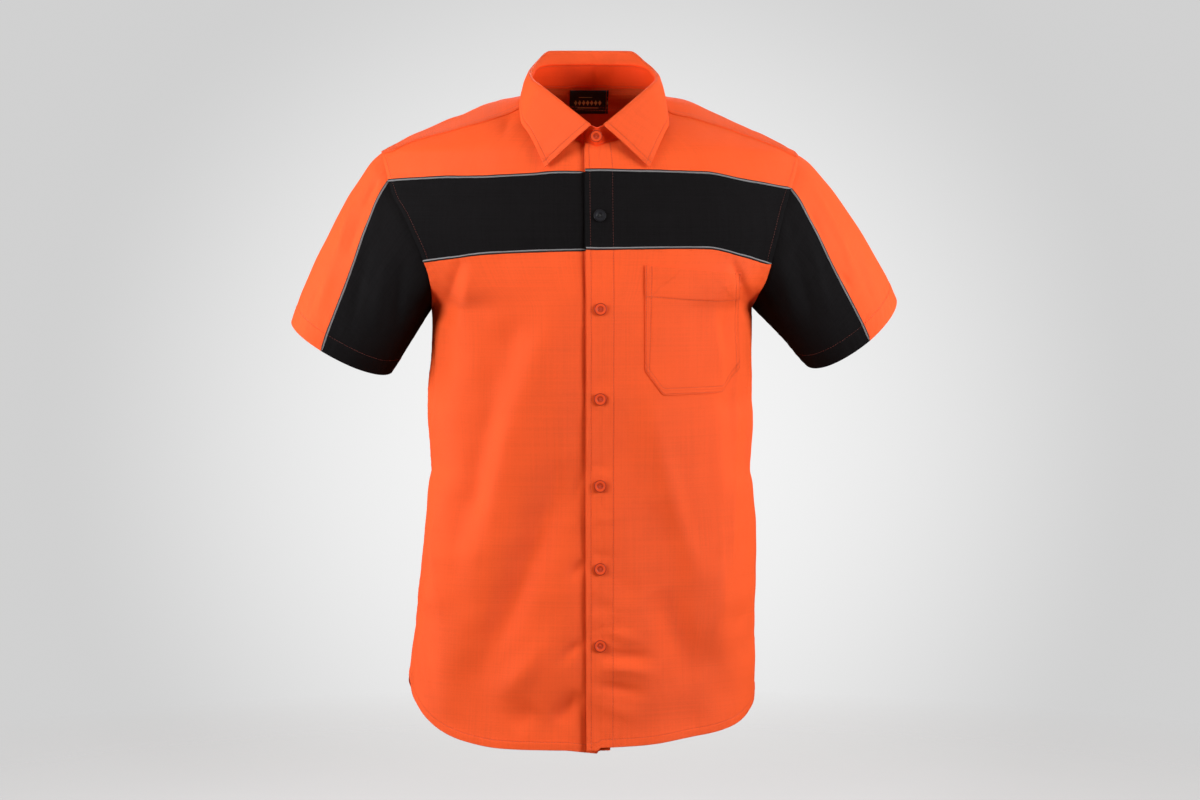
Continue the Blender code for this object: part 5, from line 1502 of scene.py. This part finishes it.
def twill(name, colour, light, fuzz, rib_depth, gleam, roughness=0.62, dark=0.90,
          groove_shade_tone=0.45):
    """Poly-cotton twill: diagonal ribs, slubs in the yarn, streaks and patches a shade off,
    puckered and sunk along its stitch lines, with painted shade darkening the colour in the
    stitch grooves. `light`, `dark` and `groove_shade_tone` are tones of the colour."""
    finish = Finish(name, roughness, Sheen_Weight=fuzz, Sheen_Roughness=0.45, IOR=1.45,
                    Sheen_Tint=tone(colour, 1.6), Specular_IOR_Level=gleam)
    place, across, up = finish.uv("weave")
    whole = finish.whole()
    wander = finish.noise(place, 700.0) * 0.00035
    rib = ((across + up * TWILL_SLOPE + wander) * (2 * math.pi / TWILL_PITCH)).sine()
    slub_up = finish.noise(place, 1.0, stretch=(2600.0, 190.0))
    slub_over = finish.noise(place, 1.0, stretch=(210.0, 2400.0))
    patch = finish.noise(whole, 17.0, 3.0, 0.55)
    grit = finish.noise(place, 420.0, 2.0, 0.6)
    streaks = 0.0
    for stretch in ((620.0, 9.0), (8.0, 560.0)):
        streaks = finish.noise(place, 1.0, 1.0, stretch=stretch) * 0.34 + streaks
    slubs = slub_up + slub_over
    shade = slubs * 0.24 + patch * 0.32 + grit * 0.18 + rib * 0.05 + streaks - 0.12
    colours = finish.mix((shade - 0.28) / 0.50, tone(colour, dark), tone(colour, light))
    coarse = finish.bump(grit * 0.6 + slubs * 0.4, 0.00022, 0.9)
    fine = finish.bump(rib, rib_depth, 0.8, under=coarse)
    _, off, along = finish.uv("stitch")
    groove = finish.clamp(1.0 - abs(off) / 0.0013) ** 1.5
    near = finish.clamp(1.0 - abs(off) / 0.0085)
    drawn = finish.node("ShaderNodeCombineXYZ", {}, [off * 90.0, along * 330.0, 0.0])
    pucker = finish.noise(drawn, 1.0, 1.0)
    sewn_in = finish.bump(near * pucker * 0.7 - groove * 0.6, 0.00050, 1.0, under=fine)
    # painted shade: the colour darkens in the groove of each stitch line
    return finish.show(Base_Color=finish.mix(groove * 0.16, colours, tone(colour, groove_shade_tone)),
                       Roughness=patch * 0.12 + (roughness - 0.06), Normal=sewn_in)


def cord_finish(colour, dark):
    """Reflective-grey piping sewn in, with painted shadow: a narrow dark edge on its orange side
    for the gap beside it.
    """
    finish = Finish("piping_cord", 0.5, Specular_IOR_Level=0.3)
    _, along, side = finish.uv("weave")
    wound = ((along + side * 0.0004) * (2 * math.pi / 0.00085)).sine()
    grit = finish.noise(finish.whole(), 900.0)
    grey = finish.mix(wound * 0.28 + grit * 0.6 + 0.1, tone(colour, 0.75), tone(colour, 1.2))
    # painted shadow: the cord's half towards the orange cloth takes the dark colour
    return finish.show(Base_Color=finish.mix((side - 0.02) * 5.0, dark, grey),
                       Roughness=grit * 0.2 + 0.42,
                       Normal=finish.bump(wound * 0.5 + grit * 0.5, 0.00018, 0.9))


def label_finish(ground, gold):
    """A black woven label with a row of plain diamonds and two rules in gold."""
    finish = Finish("label_weave", 0.55, Sheen_Weight=0.1)
    _, across, up = finish.uv("weave")
    ribs = (up * (2 * math.pi * 60)).sine()
    threads = (across * (2 * math.pi * 90)).sine()

    def field(x0, x1, y0, y1):
        return (up > y0) * (up < y1) * ((across > x0) * (across < x1))

    diamonds = (abs((across * 9.0).part() - 0.5) + abs((up - 0.48) * 3.6)) < 0.44
    rules = field(0.22, 0.80, 0.24, 0.275) + field(0.25, 0.62, 0.70, 0.73)
    gilt = (diamonds * field(0.10, 0.90, 0.34, 0.62) + rules * 0.75) * (threads * 0.2 + 0.8)
    return finish.show(Base_Color=finish.mix(gilt, ground, gold), Roughness=ribs * 0.05 + 0.55,
                       Normal=finish.bump(ribs * 0.5 + threads * 0.3 + gilt, 0.0001, 0.8))


def button_finish(name, colour, shadow):
    """Moulded shirt button: swirled body colour, with painted shade darkening it towards the shadow
    colour at its rim, round its eyes and in its sunk middle.
    """
    finish = Finish(name, 0.42, Specular_IOR_Level=0.25)
    reach = finish.length(finish.uv("face")[0])
    rim = finish.clamp((reach - 0.0057) / 0.0006)
    eyes = finish.clamp(1.6 - abs(reach - 0.0030) / 0.00045)
    sunk = finish.clamp((0.0030 - reach) / 0.0006)
    whole = finish.whole()
    swirl = finish.noise(whole, 130.0, 3.0, 0.6)
    fine = finish.noise(whole, 900.0)
    colours = finish.mix(swirl * 1.2 + fine * 0.2 - 0.2, tone(colour, 0.85), tone(colour, 1.10))
    # painted shade: darker towards the shadow colour at the rim, round the eyes and in the sunk
    # middle
    dark = finish.clamp(rim * 0.95 + eyes * 0.6 + sunk * 0.3)
    return finish.show(Base_Color=finish.mix(dark, colours, tone(shadow, 1.0)),
                       Roughness=swirl * 0.14 + 0.36,
                       Normal=finish.bump(fine * 0.4 + swirl, 0.00006, 0.6))


def thread_finish(name, colour):
    finish = Finish(name, 0.6, Sheen_Weight=0.1)
    ply = finish.node("ShaderNodeTexWave", {"wave_type": "BANDS", "bands_direction": "DIAGONAL"},
                      {"Vector": finish.whole(), "Scale": 900.0, "Distortion": 1.5})
    return finish.show(Base_Color=finish.mix(ply * 0.8, tone(colour, 0.7), tone(colour, 1.25)),
                       Roughness=ply * 0.2 + 0.5, Normal=finish.bump(ply, 0.00008, 0.8))


# ---------------------------------------------------------------- studio

BACKGROUND = (0.635, 0.635, 0.635, 1.0)
BRIGHT = (1.010, 1.010, 1.010, 1.0)
BRIGHT_WAY = Vector((0.053, 1.0, -0.082))   # where behind the shirt the background is palest
BRIGHT_REACH = (0.9805, 1.009)     # cosines of the angle over which it fades
AIR = (0.205, 0.112, 0.072, 1.0)   # what the shirt is lit by from all round
FLOOR_Z = -0.96
FLOOR_RADIUS = 3.4
FLOOR_SOLID = 1.0        # distance from the middle at which the floor starts to fade
FLOOR_FADE = 0.9
FLOOR_GREYS = ((0.684, 0.707, 0.709, 1), (0.721, 0.744, 0.746, 1))
KEY_TINT = (0.93, 1.0, 1.06)
LIGHTS_AIM = Vector((0.0, 0.0, -0.30))
LIGHTS = table(
    "name place size power tint",
    ("left_softbox", (-1.5, -0.9, 0.1), 0.8, 31.0, KEY_TINT),
    ("right_softbox", (1.5, -0.9, 0.1), 0.8, 31.0, KEY_TINT),
    ("left_rim_light", (-2.3, 0.2, 0.2), 1.2, 19.0, KEY_TINT),
    ("right_rim_light", (2.3, 0.2, 0.2), 1.2, 12.5, KEY_TINT),
    ("top_light", (0.0, -0.45, 1.3), 0.7, 3.5, (1, 1, 1)),
    ("back_light", (0.2, 2.2, 1.7), 1.6, 30.0, (1, 1, 1)))


def place_object(name, data):
    thing = bpy.data.objects.new(name, data)
    bpy.context.scene.collection.objects.link(thing)
    return thing


def look_along(thing, way):
    """Turns a lamp or the camera to look along a direction, upright."""
    thing.rotation_mode = "QUATERNION"
    thing.rotation_quaternion = way.to_track_quat("-Z", "Y")


def make_floor():
    """A pale floor that fades into the background all round."""
    cells = bmesh.new()
    bmesh.ops.create_circle(cells, cap_ends=True, segments=96, radius=FLOOR_RADIUS,
                            matrix=Matrix.Translation((0, 0, FLOOR_Z)))
    floor = place_object("studio_floor", as_mesh("studio_floor", cells, False))
    finish = Finish("studio_floor", 0.9)
    whole = finish.whole()
    fading = finish.clamp(1.0 - ((finish.length(whole) - FLOOR_SOLID) / FLOOR_FADE))
    floor.data.materials.append(
        finish.show(Base_Color=finish.mix(finish.noise(whole, 3.0), *FLOOR_GREYS), Alpha=fading))
    floor.visible_diffuse = floor.visible_glossy = False


def make_air():
    """The background that the camera sees, and the tinted air that lights the shirt."""
    world = bpy.context.scene.world = bpy.data.worlds.new("studio_air")
    world.use_nodes = True
    nodes = world.node_tree.nodes
    nodes.remove(nodes["Background"])
    air = Nodes(world.node_tree)
    facing = air.node("ShaderNodeVectorMath", {"operation": "DOT_PRODUCT"},
                      [air.node("ShaderNodeTexCoord"), BRIGHT_WAY.normalized()], output=1)
    paler = air.node("ShaderNodeMapRange", {"interpolation_type": "SMOOTHSTEP"},
                     [facing, *BRIGHT_REACH])
    seen = air.node("ShaderNodeBackground", {}, [air.mix(paler, BACKGROUND, BRIGHT)])
    unseen = air.node("ShaderNodeBackground", {}, [AIR])
    both = air.node("ShaderNodeMixShader", {}, [air.node("ShaderNodeLightPath"), unseen, seen])
    air.tree.links.new(both.socket, nodes["World Output"].inputs[0])


def make_studio():
    bpy.context.scene.view_settings.view_transform = "Standard"
    make_air()
    make_floor()
    for row in LIGHTS:
        lamp = bpy.data.lights.new(row.name, "AREA")
        lamp.shape, lamp.size, lamp.energy, lamp.color = "DISK", row.size, row.power, row.tint
        light = place_object(row.name, lamp)
        light.location = row.place
        look_along(light, LIGHTS_AIM - light.location)


CAMERA_AIM = Vector((0.0085, 0.0, -0.345))
CAMERA_TURN = -3.0       # degrees round from the front, towards the shirt's right
CAMERA_RISE = 4.0
CAMERA_DISTANCE = 3.23
CAMERA_LENS = 85.0       # mm
CAMERA_SENSOR = 36.0     # mm


def make_camera():
    camera = place_object("camera", bpy.data.cameras.new("camera"))
    turn, rise = math.radians(CAMERA_TURN), math.radians(CAMERA_RISE)
    away = Vector((math.sin(turn) * math.cos(rise), -math.cos(turn) * math.cos(rise),
                   math.sin(rise)))
    camera.location = CAMERA_AIM + away * CAMERA_DISTANCE
    look_along(camera, -away)
    camera.data.lens = CAMERA_LENS
    camera.data.sensor_width = CAMERA_SENSOR
    bpy.context.scene.camera = camera


# ---------------------------------------------------------------- the shirt

ORANGE = (0.862, 0.097, 0.0190)
# painted shade: the collar stand is the same orange cloth, given a deeper, redder copy of its
# colour for the shade and red bounced light inside the collar
SHADED_STAND_ORANGE = (0.960, 0.060, 0.0080)
BLACK = (0.0060, 0.0055, 0.0057)


def sew_piece(name, thread, lines, width=STITCH_WIDTH):
    """Sews lines of stitches, each as sew takes it, and joins them in one piece."""
    threads = Threads(width)
    for line in lines:
        sew(threads, *line)
    threads.finish(name, thread, "orange_cloth")


def within_neck(points):
    return np.abs(points[:, 0]) < 0.085


def sew_all(orange, rust):
    """All of the shirt's visible stitching; the same thread looks darker on the black cloth."""
    armhole_line, cuff_line, hem_line, leaf_line, stand_line, pocket_line = (
        seam.stitches[0]
        for seam in (ARMHOLE_SEAM, CUFF_SEAM, HEM_SEAM, LEAF_EDGE, STAND_EDGE, POCKET_HEM))
    for side in (-1, 1):
        name = side_name(side)
        upper, band, lower = front_names(side)
        if side > 0:
            sew_piece("placket_stitches", orange,
                      [(panel, "start", line) for line in PLACKET.stitches
                       for panel in (upper, lower)])
            sew_piece("placket_stitches_band", rust,
                      [(band, "start", line) for line in PLACKET.stitches], FINE_STITCH)
        sew_piece("stitches_" + name, orange,
                  [(upper, "end", armhole_line),
                   ("yoke", "end" if side > 0 else "start", armhole_line),
                   ("sleeve_%s_top" % name, "top", cuff_line), (lower, "bottom", hem_line)])
        sew_piece("stitches_on_black_" + name, rust,
                  [(band, "end", armhole_line), ("sleeve_%s_front" % name, "top", cuff_line)],
                  FINE_STITCH)
    sew_piece("hem_stitches_back", orange, [("back", "bottom", hem_line)])
    sew_piece("yoke_stitches_front", orange,
              [("yoke", "top", line, within_neck) for line in YOKE_SEWN.stitches])
    sew_piece("yoke_stitches_back", orange,
              [("yoke", "bottom", line) for line in YOKE_SEWN.stitches])
    sew_piece("collar_stitches", orange,
              [("collar_leaf", edge, leaf_line) for edge in ("start", "end", "top")]
              + [("collar_stand", edge, stand_line, None, True) for edge in ("bottom", "top")])
    sew_piece("pocket_stitches", orange,
              [("pocket", edge, line) for edge in ("start", "end", "bottom")
               for line in POCKET_EDGE.stitches] + [("pocket", "top", pocket_line)])


def main():
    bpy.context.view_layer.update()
    make_camera()
    make_studio()
    orange = twill("orange_twill", ORANGE, 1.10, 0.05, 0.00007, 0.18)
    # painted shade: the stand's twill takes the deeper, redder stand colour for the shade inside
    # the collar
    inner = twill("collar_stand_shaded_twill", SHADED_STAND_ORANGE, 1.10, 0.03, 0.00007, 0.10)
    black = twill("black_twill", BLACK, 1.5, 0.0, 0.00008, 0.03, 0.78, 0.75, 0.4)
    # the cord's second colour is the painted shadow on its orange side
    grey = cord_finish((0.24, 0.235, 0.235), tone(BLACK, 1.2))
    label = label_finish((0.006, 0.0055, 0.006, 1), (0.95, 0.74, 0.34, 1))
    orange_button = button_finish("orange_button", (0.78, 0.076, 0.017), (0.25, 0.014, 0.004))
    black_button = button_finish("black_button", (0.010, 0.011, 0.014), (0.004, 0.004, 0.005))
    orange_thread = thread_finish("orange_thread", (0.66, 0.062, 0.014))
    rust_thread = thread_finish("rust_thread", (0.17, 0.024, 0.010))
    black_thread = thread_finish("black_thread", (0.02, 0.018, 0.018))
    for side in (-1, 1):
        make_upper_front(side, orange)
        make_band(side, black)
        make_lower_front(side, orange)
        make_sleeve(side, {"orange_cloth": orange, "black_cloth": black})
    make_back(orange)
    make_yoke(orange)
    make_stand(inner)
    make_leaf(orange)
    make_pocket(orange)
    for name, x_range in (("neck_label", LABEL_X), ("size_tab", TAB_X)):
        make_label(name, x_range, LABEL_Z[::-1], label)
    for side in (-1, 1):
        name = side_name(side)
        upper, band, lower = front_names(side)
        keep = (lambda points: points[:, 0] < OVER_EDGE + 0.002) if side < 0 else None
        lay_piping("piping_%s_top" % name, (band, "top"), (upper, "bottom"), grey, keep)
        lay_piping("piping_%s_bottom" % name, (band, "bottom"), (lower, "top"), grey, keep)
        lay_piping("piping_sleeve_" + name, ("sleeve_%s_front" % name, "start"),
                   ("sleeve_%s_top" % name, "end"), grey)
    on_orange = (orange_button, "orange_button", orange_thread, "orange_cloth")
    on_black = (black_button, "black_button", black_thread, "black_cloth")
    make_button("button_collar", "collar_stand", COLLAR_BUTTON_X, COLLAR_BUTTON_Z, 20, *on_orange)
    for number, height in enumerate(FRONT_BUTTON_HEIGHTS, 1):
        panel, looks = (("front_left_band", on_black) if number == 1 else
                        ("front_left_lower", on_orange))
        make_button("button_front_%d" % number, panel, FRONT_BUTTON_X, height, 45 + 17 * number,
                    *looks)
    sew_all(orange_thread, rust_thread)


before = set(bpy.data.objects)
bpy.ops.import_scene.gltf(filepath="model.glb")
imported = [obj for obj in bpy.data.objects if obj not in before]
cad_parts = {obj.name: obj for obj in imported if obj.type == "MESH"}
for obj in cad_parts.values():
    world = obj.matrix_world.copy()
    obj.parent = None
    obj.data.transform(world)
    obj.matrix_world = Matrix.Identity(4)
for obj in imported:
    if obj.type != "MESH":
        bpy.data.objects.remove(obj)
main()
